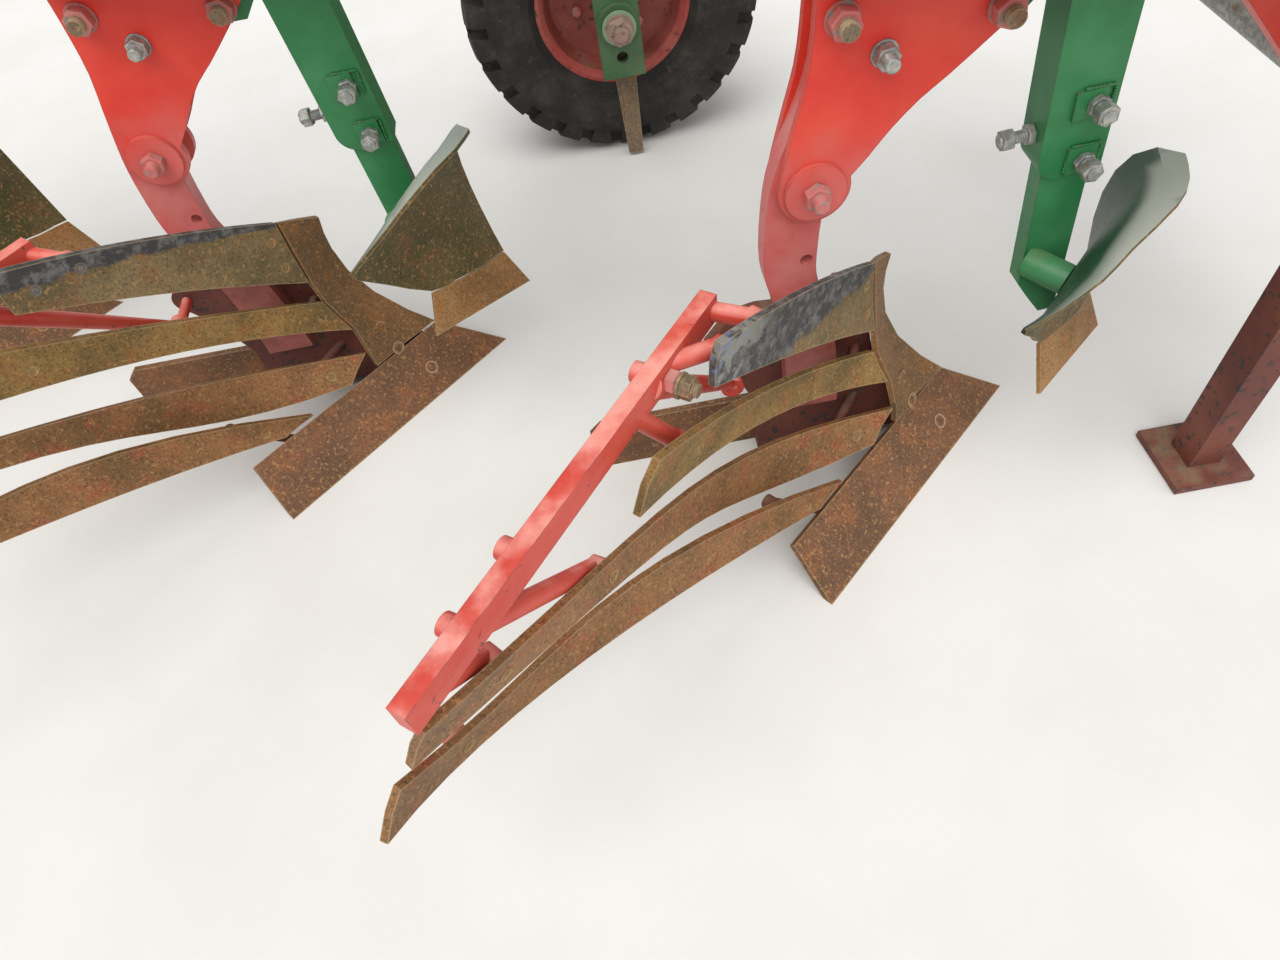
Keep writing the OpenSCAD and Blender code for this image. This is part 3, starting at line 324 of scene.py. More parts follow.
NODE_FINISH = {
    "leg": RED, "leg_clamp": RED, "shank": PINK, "frog": PRIMER, "share": SHARE_STEEL, "shin": SHIN_STEEL,
    "slats": SLAT, "landside": SHARE_STEEL, "stay": SALMON, "skimmer_holder": GREEN,
    "skimmer_stem": STEM_GREEN_WITH_PAINTED_LIGHT, "skimmer_board": DARK_GREEN, "skimmer_share": TIP_STEEL,
}
FRAME_FINISH = {
    "main_beam": GREEN, "cross_tube": GREEN, "mast": RED, "mast_brace": RED, "link_bracket_left": RED,
    "link_bracket_right": RED, "link_shaft": ZINC, "stand_sleeve": GREEN, "stand_leg": PRIMER,
    "wheel_arm": GREEN, "wheel_sleeve": GREEN, "wheel_screw": ZINC, "wheel_leg": GRIMY_GREEN,
    "wheel_scraper": SCRAPER_STEEL, "wheel_rim": RIM_RED, "wheel_tyre": RUBBER,
}
FINISH = {f"{part}_{i}": material for part, material in NODE_FINISH.items() for i in BODIES} | FRAME_FINISH


def paint(piece, *materials):
    """Gives a piece its materials in place of those it has."""
    piece.data.materials.clear()
    for material in materials:
        piece.data.materials.append(material)


for node, material in FINISH.items():
    paint(nodes[node], material)


# Modelling helpers. Edges that turn by more than this stay sharp on a smoothed copy.
SHARP_FROM = math.radians(35)


def single(piece):
    """Leaves one piece selected and active, in object mode."""
    bpy.ops.object.select_all(action="DESELECT")
    piece.select_set(True)
    bpy.context.view_layer.objects.active = piece


def begin(piece, wanted=None, kind="FACE"):
    """Enters edit mode with the faces or vertices selected that wanted names, or all of them."""
    single(piece)
    bpy.ops.object.mode_set(mode="EDIT")
    bpy.ops.mesh.select_mode(type=kind)
    bpy.ops.mesh.select_all(action="SELECT" if wanted is None else "DESELECT")
    if wanted:
        bpy.ops.object.mode_set(mode="OBJECT")
        for row in piece.data.polygons if kind == "FACE" else piece.data.vertices:
            row.select = wanted(row)
        bpy.ops.object.mode_set(mode="EDIT")


def end():
    """Leaves edit mode."""
    bpy.ops.object.mode_set(mode="OBJECT")


def settle(piece, name, *materials):
    """Names a new piece, puts its place into its mesh and paints it."""
    single(piece)
    bpy.ops.object.transform_apply(location=True, rotation=True, scale=True)
    piece.name = name
    if materials:
        paint(piece, *materials)
    return piece


def join(name, pieces):
    """Joins pieces into one."""
    bpy.ops.object.select_all(action="DESELECT")
    for piece in pieces:
        piece.select_set(True)
    bpy.context.view_layer.objects.active = pieces[0]
    if len(pieces) > 1:
        bpy.ops.object.join()
    pieces[0].name = name
    return pieces[0]


def copy_at(template, point, axis, turn):
    """A copy of a template with its own mesh, its foot at a point, its z along axis and turned about it."""
    mesh = template.data.copy()
    way = Vector(axis).to_track_quat("Z", "Y").to_matrix().to_4x4()
    mesh.transform(Matrix.Translation(point) @ way @ Matrix.Rotation(turn, 4, "Z"))
    piece = bpy.data.objects.new(template.name, mesh)
    bpy.context.scene.collection.objects.link(piece)
    return piece


def carry(piece, body):
    """Makes a finished piece ride on a body."""
    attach(piece, body)


def smooth_copy(node):
    """A merged, softly shaded copy of a CAD node that is shown in its place."""
    source = nodes[node]
    mesh = source.data.copy()
    piece = bpy.data.objects.new(node + "_smooth", mesh)
    bpy.context.scene.collection.objects.link(piece)
    single(piece)
    if mesh.has_custom_normals:
        bpy.ops.mesh.customdata_custom_splitnormals_clear()
    begin(piece)
    bpy.ops.mesh.remove_doubles(threshold=0.01 * MM)
    end()
    bpy.ops.object.shade_smooth_by_angle(angle=SHARP_FROM)
    carry(piece, BODY_OF[node])
    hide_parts(node)
    return piece


# Fasteners, modelled once each, with heights and radii as shares of the width across their flats
NUT_HIGH, HEAD_HIGH, THICK_HEAD_HIGH = 0.8 / 1.5, 0.42, 0.62
THREAD_RADIUS, WASHER_RADIUS, DOG_RADIUS = 1 / 3, 0.62, 0.36
TURNED_CORNER = 0.07
# How high washers and turned ends are, how deep a thread starts in its nut, how far apart its ridges are
WASHER_HIGH, SEATED, THREAD_PITCH = 3 * MM, 0.5 * MM, 2.5 * MM
# The radius between a thread's ridges, as a share of its own
THREAD_ROOT = 0.88
# A face is an end face where its normal's z is past this
END_FACE = 0.9
RIGHT, LEFT, UP, DOWN = (0, -1, 0), (0, 1, 0), (0, 0, 1), (0, 0, -1)


def cylinder(name, sides, radius, high, middle, *materials):
    """A plain cylinder along z with its middle at a height, to be shaped further."""
    bpy.ops.object.select_all(action="DESELECT")
    bpy.ops.mesh.primitive_cylinder_add(vertices=sides, radius=radius, depth=high, location=(0, 0, middle))
    return settle(bpy.context.object, name, *materials)


def hexagon(name, across, high, material):
    """A hexagon head or nut that stands on z 0, with turned corners."""
    piece = cylinder(name, 6, across / 2 / math.cos(math.pi / 6), high, high / 2, material)
    begin(piece, lambda face: abs(face.normal.z) > END_FACE)
    bpy.ops.mesh.bevel(offset=TURNED_CORNER * across, segments=2, affect="EDGES")
    end()
    return piece


def disc(name, radius, high, material, edge=0.2):
    """A washer or collar that stands on z 0, its rim rounded by a share of its height."""
    piece = cylinder(name, 28, radius, high, high / 2, material)
    begin(piece, lambda face: face.normal.z > END_FACE)
    bpy.ops.mesh.bevel(offset=edge * high, segments=2, affect="EDGES")
    end()
    return piece


def stud(name, radius, out, material):
    """A bolt's threaded end that stands on z 0, one ridge at a time, with a turned tip."""
    piece = cylinder(name, 18, radius, THREAD_PITCH / 2, THREAD_PITCH / 4, material)
    begin(piece, lambda face: face.normal.z > END_FACE)
    for ridge in range(max(1, round(out / THREAD_PITCH))):
        for size in (THREAD_ROOT, 1 / THREAD_ROOT):
            bpy.ops.mesh.extrude_region_move(TRANSFORM_OT_translate={"value": (0, 0, THREAD_PITCH / 2)})
            bpy.ops.transform.resize(value=(size, size, 1), center_override=(0, 0, 0))
    bpy.ops.mesh.inset(thickness=0.2 * radius, depth=0.1 * radius)
    end()
    return piece


def lift(piece, z):
    """Moves a template up its own axis."""
    piece.data.transform(Matrix.Translation((0, 0, z)))
    return piece


def nut_on_bolt(name, across, finish, out, washer=True, end_finish=None):
    """A nut, on a washer or bare, with the bolt's threaded end through it."""
    base = WASHER_HIGH if washer else 0.0
    high = NUT_HIGH * across
    parts = [lift(hexagon("nut", across, high, finish), base),
             lift(stud("end", THREAD_RADIUS * across, out, end_finish or finish), base + high - SEATED)]
    if washer:
        parts.append(disc("washer", WASHER_RADIUS * across, WASHER_HIGH, finish))
    return join(name, parts)


def head_with_washer(name, across, finish):
    """A bolt's head on its washer."""
    return join(name, [lift(hexagon("head", across, HEAD_HIGH * across, finish), WASHER_HIGH),
                       disc("washer", WASHER_RADIUS * across, WASHER_HIGH, finish)])


def set_bolt(name, across, reach):
    """A set bolt: a lock nut, some thread, a thick head with a turned end."""
    nut_top = HEAD_HIGH * across
    head_foot = nut_top + reach
    head_top = head_foot + THICK_HEAD_HIGH * across
    neck = stud("neck", THREAD_RADIUS * across, reach, ZINC)
    return join(name, [hexagon("lock_nut", across, nut_top, ZINC), lift(neck, nut_top - SEATED),
                       lift(hexagon("head", across, THICK_HEAD_HIGH * across, ZINC), head_foot),
                       lift(disc("dog", DOG_RADIUS * across, WASHER_HIGH, ZINC), head_top - SEATED)])


def flush_bolt(name, radius, finish, ring):
    """A countersunk plough bolt that sits in its plate: a bright worn ring round a sunk head."""
    piece = cylinder(name, 26, radius, 1.6 * MM, 0, finish, ring)
    begin(piece, lambda face: face.normal.z > END_FACE)
    bpy.ops.mesh.inset(thickness=0.22 * radius, depth=0)
    bpy.ops.mesh.inset(thickness=0.1 * radius, depth=-0.9 * MM)
    bpy.ops.mesh.inset(thickness=0.3 * radius, depth=0.3 * MM)
    end()
    for face in piece.data.polygons:
        outer = face.center.xy.length > 0.8 * radius
        face.material_index = 1 if outer and face.normal.z > END_FACE else 0
    return piece


def linch_pin(name):
    """A linch pin that stands through a hitch pin, with its sprung ring folded over."""
    pin = cylinder("pin", 16, 5 * MM, 46 * MM, 0, ZINC)
    begin(pin, lambda face: face.normal.z < -END_FACE)
    bpy.ops.mesh.inset(thickness=2 * MM, depth=3 * MM)
    end()
    ring_middle = (0, 16 * MM, 24 * MM)
    bpy.ops.object.select_all(action="DESELECT")
    bpy.ops.mesh.primitive_torus_add(major_segments=28, minor_segments=8, major_radius=20 * MM,
                                     minor_radius=2.2 * MM, location=ring_middle)
    ring = settle(bpy.context.object, "ring", ZINC)
    begin(ring)
    bpy.ops.transform.resize(value=(0.86, 1.1, 1.0), center_override=ring_middle)
    end()
    bpy.ops.object.shade_smooth()
    return join(name, [pin, ring])


def ripple(name):
    """One scale of a weld bead, a flattened drop that overlaps the next one."""
    bpy.ops.object.select_all(action="DESELECT")
    bpy.ops.mesh.primitive_uv_sphere_add(segments=8, ring_count=5, radius=1.0, location=(0, 0, 0))
    piece = bpy.context.object
    begin(piece, lambda vertex: vertex.co.x < -0.3, "VERT")
    bpy.ops.transform.resize(value=(0.5, 0.8, 0.8), center_override=(0, 0, 0))
    end()
    single(piece)
    bpy.ops.object.shade_smooth()
    return settle(piece, name)


random_turns = random.Random(7)
NUT_OLD = nut_on_bolt("nut_old", 30 * MM, NUT_RED, 9 * MM, end_finish=SCRAPER_STEEL)
NUT_PIVOT = nut_on_bolt("nut_pivot", 28 * MM, NUT_RED, 12 * MM, washer=False)
NUT_SHEAR = nut_on_bolt("nut_shear", 24 * MM, ZINC, 12 * MM)
HEAD_OLD = head_with_washer("head_old", 30 * MM, NUT_RED)
HEAD_SHEAR = head_with_washer("head_shear", 24 * MM, ZINC)
NUT_CLAMP = nut_on_bolt("nut_clamp", 30 * MM, ZINC, 2 * MM)
NUT_AXLE = join("nut_axle", [lift(nut_on_bolt("axle_end", 46 * MM, GRIMY_NUT, 5 * MM), 3 * MM),
                             disc("axle_washer", 35 * MM, 3 * MM, PALE_GREEN)])
NUT_WHEEL = nut_on_bolt("nut_wheel", 19 * MM, NUT_RED, 6 * MM, washer=False)
NUT_STAY = nut_on_bolt("nut_stay", 24 * MM, NUT_RED, 3 * MM, washer=False)
NUT_RUSTY = nut_on_bolt("nut_rusty", 24 * MM, SCRAPER_STEEL, 6 * MM)
HUB_CAP = disc("hub_cap", 33 * MM, 13 * MM, RIM_RED, edge=0.35)
VALVE = stud("valve", 4 * MM, 28 * MM, ZINC)
SET_BOLT = set_bolt("set_bolt", 22 * MM, 5 * MM)
SET_BOLT_LONG = set_bolt("set_bolt_long", 22 * MM, 15 * MM)
FLUSH_DARK = flush_bolt("flush_dark", 12 * MM, SHARE_STEEL, RING_STEEL)
FLUSH_SLAT = flush_bolt("flush_slat", 8 * MM, SLAT, SLAT)
FLUSH_PAINTED = flush_bolt("flush_painted", 8 * MM, OLD_PAINT, OLD_PAINT)
RIPPLE = ripple("ripple")
LINCH_PIN = linch_pin("linch_pin")
TEMPLATES = [NUT_OLD, NUT_PIVOT, NUT_SHEAR, HEAD_OLD, HEAD_SHEAR, NUT_CLAMP, NUT_AXLE, NUT_WHEEL, NUT_RUSTY,
             NUT_STAY, HUB_CAP, VALVE, SET_BOLT, SET_BOLT_LONG, FLUSH_DARK, FLUSH_SLAT, FLUSH_PAINTED, RIPPLE,
             LINCH_PIN]


def fasten(name, rows, corner, body="root"):
    """Copies of fasteners joined into one piece: rows of (template, point from the corner in mm, axis)."""
    copies = [copy_at(template, corner + Vector(point) * MM, axis, random_turns.uniform(0, math.pi / 3))
              for template, point, axis in rows]
    carry(join(name, copies), body)


def weld(name, runs, corner, finish, radius=4.0, pitch=4.5):
    """Weld beads along runs of points, in mm from the corner."""
    drops = []
    for run in runs:
        start, stop = (Vector(point) for point in run)
        count = max(2, round((stop - start).length / pitch))
        turn = (stop - start).to_track_quat("X", "Z").to_matrix().to_4x4()
        for k in range(count):
            size = radius * random_turns.uniform(0.9, 1.12) * MM
            point = corner + start.lerp(stop, (k + 0.5) / count) * MM
            mesh = RIPPLE.data.copy()
            shape = Matrix.Diagonal((size * 1.1, size, size * 0.9, 1))
            mesh.transform(Matrix.Translation(point) @ turn @ shape)
            drop = bpy.data.objects.new(name, mesh)
            bpy.context.scene.collection.objects.link(drop)
            drops.append(drop)
    bead = join(name, drops)
    paint(bead, finish)
    carry(bead, "root")


# Floor, lamps and camera. The sun lamps: name, place that they shine from, spread in degrees, strength
LAMPS = [("sky_light", (-1.0, -2.0, 5.0), 55, 2.5), ("side_light", (4.0, -3.0, 2.5), 40, 0.6)]
LAMPS_AIM = Vector((0, 0, 0.4))


def make_stage():
    """A pale floor that runs out of sight."""
    bpy.ops.mesh.primitive_plane_add(size=60, location=(0, 0, 0))
    floor = bpy.context.object
    floor.name = "floor"
    material, tree, shader = new_material("pale_floor")
    place = add(tree, "TexCoord", {}, "Object")
    colour = cover(tree, "#d9d7d1", "#dfddd8", patches(tree, place, 333, 5, 0.3, 0.7))
    tree.links.new(colour, shader.inputs["Base Color"])
    shader.inputs["Roughness"].default_value = 0.9
    paint(floor, material)


def make_lamps():
    """Wide soft light from overhead, weaker light from the right, and a pale world that is seen white."""
    for name, place, spread, strength in LAMPS:
        lamp = bpy.data.lights.new(name, "SUN")
        lamp.angle, lamp.energy = math.radians(spread), strength
        holder = bpy.data.objects.new(name, lamp)
        bpy.context.scene.collection.objects.link(holder)
        holder.location = place
        holder.rotation_euler = (LAMPS_AIM - Vector(place)).to_track_quat("-Z", "Y").to_euler()
    world = bpy.data.worlds.new("pale_room")
    bpy.context.scene.world = world
    world.use_nodes = True
    tree = world.node_tree
    lit = tree.nodes["Background"]
    lit.inputs["Color"].default_value = srgb("#f2f4f8")
    lit.inputs["Strength"].default_value = 0.62
    seen = add(tree, "Background", {"Color": "#ebebe8", "Strength": 1.0})
    direct = add(tree, "Math", SUM | {0: add(tree, "LightPath", {}, "Is Camera Ray"),
                                      1: add(tree, "LightPath", {}, "Is Glossy Ray")})
    direct = add(tree, "Math", SUM | {0: direct, 1: add(tree, "LightPath", {}, "Is Transmission Ray")})
    mixed = add(tree, "MixShader", {0: direct, 1: lit.outputs["Background"], 2: seen})
    tree.links.new(mixed, tree.nodes["World Output"].inputs["Surface"])


def make_camera():
    """The camera where the photograph was taken from."""
    data = bpy.data.cameras.new("camera")
    data.lens, data.sensor_width = CAMERA_LENS, SENSOR_WIDTH
    data.clip_start, data.clip_end = 0.05, 100
    camera = bpy.data.objects.new("camera", data)
    bpy.context.scene.collection.objects.link(camera)
    yaw, pitch, roll = (math.radians(a) for a in (CAMERA_YAW, CAMERA_PITCH, CAMERA_ROLL))
    ahead = Vector((math.sin(yaw) * math.cos(pitch), math.cos(yaw) * math.cos(pitch), -math.sin(pitch)))
    level = Vector((math.cos(yaw), -math.sin(yaw), 0))
    over = level.cross(ahead)
    right = level * math.cos(roll) + over * math.sin(roll)
    up = over * math.cos(roll) - level * math.sin(roll)
    turn = Matrix((right, up, -ahead)).transposed().to_4x4()
    camera.matrix_world = Matrix.Translation(CORNERS[1] + CAMERA_FROM_CORNER) @ turn
    bpy.context.scene.camera = camera


# Shapes of the moldboard that the looks need, in mm from a body's corner, from the front to the tail:
# the top slat's upper edge and the middle lines of the four slats
TOP_EDGE = [(97, 32, 385), (12, -54, 450), (-72, -143, 508), (-157, -235, 558)]
SLAT_LINES = [
    [(101, 25, 329), (14, -59, 402), (-74, -145, 467), (-162, -233, 525)],
    [(123, 16, 196), (-11, -67, 277), (-137, -182, 370), (-253, -331, 474)],
    [(125, -21, 100), (-115, -131, 186), (-267, -300, 326), (-486, -552, 470)],
    [(18, -116, 81), (-252, -286, 210), (-425, -418, 266), (-540, -570, 375)],
]
SLAT_FINISH = (TOP_SLAT, SLAT, LOW_SLAT, LOW_SLAT)
# How much of the top slat's old paint is left on each body: how many times thinner its band is than on
# body 1, and how much of that band's widening to the tail it has
PAINT_LEFT = {1: (1.0, 1.0), 2: (2.2, 0.55), 3: (2.6, 0.6)}
# Plough bolts, each near the soil face of its slat, which on_slats finds, and how many of them, from the
# first, lie under the old paint
SLAT_BOLTS = [
    (-93.4, -162.9, 498.6), (-138.4, -205.2, 505.9), (-195.3, -245.9, 412.1), (-309.2, -351.3, 358.7),
    (-418.1, -475.7, 427.8), (-489.4, -484.9, 298.7), (82.5, 13.9, 363.2), (85.3, 7.9, 317.8),
    (99.2, 6.5, 206.4), (77.3, -33.5, 105.4), (-29.4, -143.3, 105.2),
]
PAINTED_BOLTS = 2
# Unit vector from the skimmer board's soil side to its back
BOARD_BACK = Vector((-0.576, 0.817, 0))
# Corners of the stem's lower end, as [x, z], how far each moves to the photographed slope, and how near to a
# corner its points lie
STEM_CORNERS = [(312, 324, (-7, 0, -15.7)), (289, 277, (37, 0, 2.6))]
STEM_NEAR = 2 * MM

# A leg, in mm from its body's corner: y of its outer faces and of the pivot's washers, [x, z] of its bolts,
# and x of the ends of the beads under its head, and their z
LEG_RIGHT, LEG_LEFT, PIVOT_RIGHT, PIVOT_LEFT = 0, 54.6, -6, 60.6
HEAD_BOLTS, SHEAR_BOLT, PIVOT = [(18, 732), (185, 714)], (65, 689), (0, 539)
LEG_BEAD, LEG_BEAD_HIGH = (-6, 210), 783
# The skimmer holder's pads that its set bolts pass: y of their face, [x, z] of each, how far their beads lie
# from their middle and below their face, and half the length of the upper bead and of the side beads
PAD_FACE, PADS = -25, [(302, 600), (307, 530)]
PAD_HALF, PAD_BEAD_DEEP, PAD_UPPER_BEAD, PAD_SIDE_BEAD = 18, 3, 17, 15
# The ways out of the share, the shin's foot, the shin and the holder's back
SHARE_OUT, SHIN_FOOT_OUT, SHIN_OUT = (0.47, -0.53, 0.71), (0.63, -0.66, 0.4), (0.77, -0.62, 0.2)
HOLDER_BACK = (-0.997, 0, -0.078)
# The way from the stay bar towards the slats
BAR_SIDE = (0.786, -0.618, 0)
# The clamp on the beam: its middle, its bolts' reach from there both ways, and z of its upper and lower face
CLAMP_MIDDLE, CLAMP_REACH, CLAMP_TOP, CLAMP_UNDER = Vector((118, 27.3, 0)), 80, 935.7, 784.3
# One body's fasteners: template, point in mm from the body's corner, and the way it faces
BODY_FASTENERS = [
    *[(NUT_OLD, (x, LEG_RIGHT, z), RIGHT) for x, z in HEAD_BOLTS],
    (NUT_SHEAR, (SHEAR_BOLT[0], LEG_RIGHT, SHEAR_BOLT[1]), RIGHT),
    (NUT_PIVOT, (PIVOT[0], PIVOT_RIGHT, PIVOT[1]), RIGHT),
    *[(HEAD_OLD, (x, LEG_LEFT, z), LEFT) for x, z in HEAD_BOLTS],
    (HEAD_SHEAR, (SHEAR_BOLT[0], LEG_LEFT, SHEAR_BOLT[1]), LEFT),
    (HEAD_OLD, (PIVOT[0], PIVOT_LEFT, PIVOT[1]), LEFT),
    *[(SET_BOLT, (x, PAD_FACE, z), RIGHT) for x, z in PADS],
    (SET_BOLT_LONG, (255, 5, 557), HOLDER_BACK),
    (FLUSH_DARK, (238, 18, 35), SHARE_OUT), (FLUSH_DARK, (190, 34, 83), SHIN_FOOT_OUT),
    (FLUSH_DARK, (120, -84, 35), SHARE_OUT), (FLUSH_DARK, (172, 46, 128), SHIN_OUT),
    *[(FLUSH_DARK, (x, LAND_FACE, 52), LEFT) for x in (240, 120, 0)],
    (NUT_STAY, (-214, -227, 514), BAR_SIDE), (NUT_RUSTY, (-203, -236, 513), BAR_SIDE),
]

# The beam's turn from the direction of travel, from the step between two bodies
BODY_STEP = CORNERS[1] - CORNERS[2]
BEAM_TURN = math.atan2(BODY_STEP.y, BODY_STEP.x)

# Headstock, in mm from body 1's corner: y of its middle, [x, z] of the mast's bolt and half the mast's width,
# x and y of the nuts on the brace's foot and z of its face, the link pins' x, reach from the middle and top
HEAD_MIDDLE = 265
MAST_BOLT, MAST_HALF = (540, 1065), 40
BRACE_NUTS_X, BRACE_NUTS_Y, BRACE_FOOT = (-495, -345), (229, 285), 934
LINK_PIN, LINK_PIN_OUT, LINK_PIN_TOP = 690, 488, 514
# Its beads: the faces of mast and brackets out from the middle that they follow, their z, and x of their ends
MAST_FACES, MAST_FOOT = (-41, -25, 25, 41), 921
BRACKET_FACES, BRACKET_TOP = (-306, -279, 279, 306), 799
HEAD_WELD = (442, 558)

# Depth wheel, in mm from body 1's corner: its axle, y of the beam's middle beside it, half the sleeve's width
# and y of the sleeve's face towards the arm
WHEEL_AXLE = Vector((-136, 1105, 314.5))
BEAM_AT_WHEEL = 131.9
SLEEVE_HALF, SLEEVE_FACE = 40, 944
# The wheel's arm: z of its lower and upper edge, its flange's face from the beam's middle line, and along
# that line its bolts, with their z, and the ends of its beads
ARM_UNDER, ARM_TOP, FLANGE_FACE = 825, 905, 73.5
FLANGE_BOLTS, FLANGE_BOLTS_HIGH, FLANGE_BEAD = (-108, -68), (832, 888), (-38, 50)
# From the wheel's middle: the axle's nut and the hub's left end along the axle, and the valve's distance
AXLE_NUT, HUB_LEFT, VALVE_OUT = -165, 60.2, 114
# The wheel's disc: its bolts, their circle's radius, the first one's angle, y of both faces from the axle's
DISC_BOLTS, DISC_CIRCLE, DISC_FIRST, DISC_LEFT, DISC_RIGHT = 6, 78, 12, -8, -20
# Rings on the tyre's walls: radius, distance out from the wheel's middle and thickness, and how flat they lie
TYRE_RINGS = [(262, 86.8, 2.2), (214, 85.2, 2.6), (195, 83.4, 2.4)]
RING_FLAT = 0.9
# The rim's faces further out than this are its flanges
RIM_FLANGE = 147 * MM
# The wheel's screw: foot, a radius that just holds the plain rod, its root's share of the rod's radius, the
# ridge's middle and size, its rise in a turn and its number of turns
SCREW_FOOT = Vector((-61, 967.5, 832))
SCREW_ROD, SCREW_ROOT, RIDGE_MIDDLE, RIDGE_SIZE = 12.2, 0.83, 9.5, 2.6
SCREW_PITCH, SCREW_TURNS = 6.0, 81


def nearest_on(line, point):
    """Distance from a point to a line of points, and how far along it, from 0 to 1."""
    best = (math.inf, 0.0)
    for k in range(len(line) - 1):
        a, b = Vector(line[k]), Vector(line[k + 1])
        share = max(0.0, min(1.0, (point - a).dot(b - a) / (b - a).length_squared))
        best = min(best, ((point - a.lerp(b, share)).length, (k + share) / (len(line) - 1)))
    return best


def finish_slats(i):
    """The four slats, each with its own rust, and the old paint on the top one."""
    piece = smooth_copy(f"slats_{i}")
    paint(piece, *SLAT_FINISH)
    mesh = piece.data
    from_top = mesh.attributes.new("from_top", "FLOAT", "POINT")
    along = mesh.attributes.new("along", "FLOAT", "POINT")
    thinner, shorter = PAINT_LEFT[i]
    for k, vertex in enumerate(mesh.vertices):
        far, share = nearest_on(TOP_EDGE, (vertex.co - CORNERS[i]) / MM)
        from_top.data[k].value = far * MM * thinner
        along.data[k].value = share * shorter
    for face in mesh.polygons:
        point = (face.center - CORNERS[i]) / MM
        distances = [nearest_on(line, point)[0] for line in SLAT_LINES]
        face.material_index = distances.index(min(distances))


def finish_skimmer(i):
    """The skimmer board: scoured on its soil side, painted on its back."""
    piece = smooth_copy(f"skimmer_board_{i}")
    paint(piece, DARK_GREEN, BOARD_STEEL)
    for face in piece.data.polygons:
        face.material_index = 0 if face.normal.dot(BOARD_BACK) > 0.05 else 1


def finish_stem(i):
    """The skimmer's stem, with its rear lower corner drawn back to one straight slope."""
    piece = smooth_copy(f"skimmer_stem_{i}")
    paint(piece, STEM_GREEN_WITH_PAINTED_LIGHT)
    for x, z, shift in STEM_CORNERS:
        corner = CORNERS[i] + Vector((x, 0, z)) * MM
        begin(piece, lambda vertex: (vertex.co - corner).xz.length < STEM_NEAR, "VERT")
        bpy.ops.transform.translate(value=Vector(shift) * MM)
        end()


def on_slats(i, point):
    """The place on body i's slats nearest to a point, both in mm from the body's corner, and its way out."""
    slats = bpy.data.objects[f"slats_{i}_smooth"]
    found, place, way, face = slats.closest_point_on_mesh(CORNERS[i] + Vector(point) * MM)
    return (place - CORNERS[i]) / MM, way


def body_fasteners(i):
    """Nuts, bolt heads and plough bolts of one body."""
    flush = [FLUSH_PAINTED if k < PAINTED_BOLTS else FLUSH_SLAT for k in range(len(SLAT_BOLTS))]
    bolts = [(template, *on_slats(i, point)) for template, point in zip(flush, SLAT_BOLTS)]
    fasten(f"body_fasteners_{i}", BODY_FASTENERS + bolts, CORNERS[i])
    clamp = Matrix.Rotation(BEAM_TURN + math.pi, 3, "Z")
    rows = []
    for along in (-CLAMP_REACH, CLAMP_REACH):
        for across in (-CLAMP_REACH, CLAMP_REACH):
            place = clamp @ Vector((along, across, 0)) + CLAMP_MIDDLE
            rows.append((NUT_CLAMP, (place.x, place.y, CLAMP_TOP), UP))
            rows.append((HEAD_SHEAR, (place.x, place.y, CLAMP_UNDER), DOWN))
    fasten(f"clamp_fasteners_{i}", rows, CORNERS[i])


def body_welds(i):
    """Beads where the leg plates meet their head, and round the pads of the skimmer holder."""
    runs = [[(x, y, LEG_BEAD_HIGH) for x in LEG_BEAD] for y in (LEG_RIGHT - 1, LEG_LEFT + 1)]
    weld(f"leg_welds_{i}", runs, CORNERS[i], RED)
    runs = []
    foot = PAD_FACE + PAD_BEAD_DEEP
    for x, z in PADS:
        runs.append([(x + end * PAD_UPPER_BEAD, foot, z + PAD_HALF) for end in (-1, 1)])
        for side in (x - PAD_HALF, x + PAD_HALF):
            runs.append([(side, foot, z + end * PAD_SIDE_BEAD) for end in (-1, 1)])
    weld(f"pad_welds_{i}", runs, CORNERS[i], GREEN, radius=2.4, pitch=3.2)


def headstock_details():
    """Fasteners and weld beads of the headstock, and the nuts that hold the mast's brace on the beam."""
    rows = [(NUT_OLD, (MAST_BOLT[0], HEAD_MIDDLE + MAST_HALF, MAST_BOLT[1]), LEFT),
            (HEAD_OLD, (MAST_BOLT[0], HEAD_MIDDLE - MAST_HALF, MAST_BOLT[1]), RIGHT)]
    rows += [(NUT_SHEAR, (x, y, BRACE_FOOT), UP) for x in BRACE_NUTS_X for y in BRACE_NUTS_Y]
    rows += [(LINCH_PIN, (LINK_PIN, HEAD_MIDDLE + side * LINK_PIN_OUT, LINK_PIN_TOP), UP) for side in (-1, 1)]
    fasten("mast_fasteners", rows, CORNERS[1])
    runs = []
    for faces, z in ((MAST_FACES, MAST_FOOT), (BRACKET_FACES, BRACKET_TOP)):
        runs += [[(x, HEAD_MIDDLE + out, z) for x in HEAD_WELD] for out in faces]
    weld("mast_welds", runs, CORNERS[1], RED)


def beside_beam(x, y, z):
    """A point of the wheel arm's flange, given from the beam's middle line, in mm from body 1's corner."""
    return Matrix.Rotation(BEAM_TURN, 3, "Z") @ Vector((x, y, z)) + Vector((WHEEL_AXLE.x, BEAM_AT_WHEEL, 0))


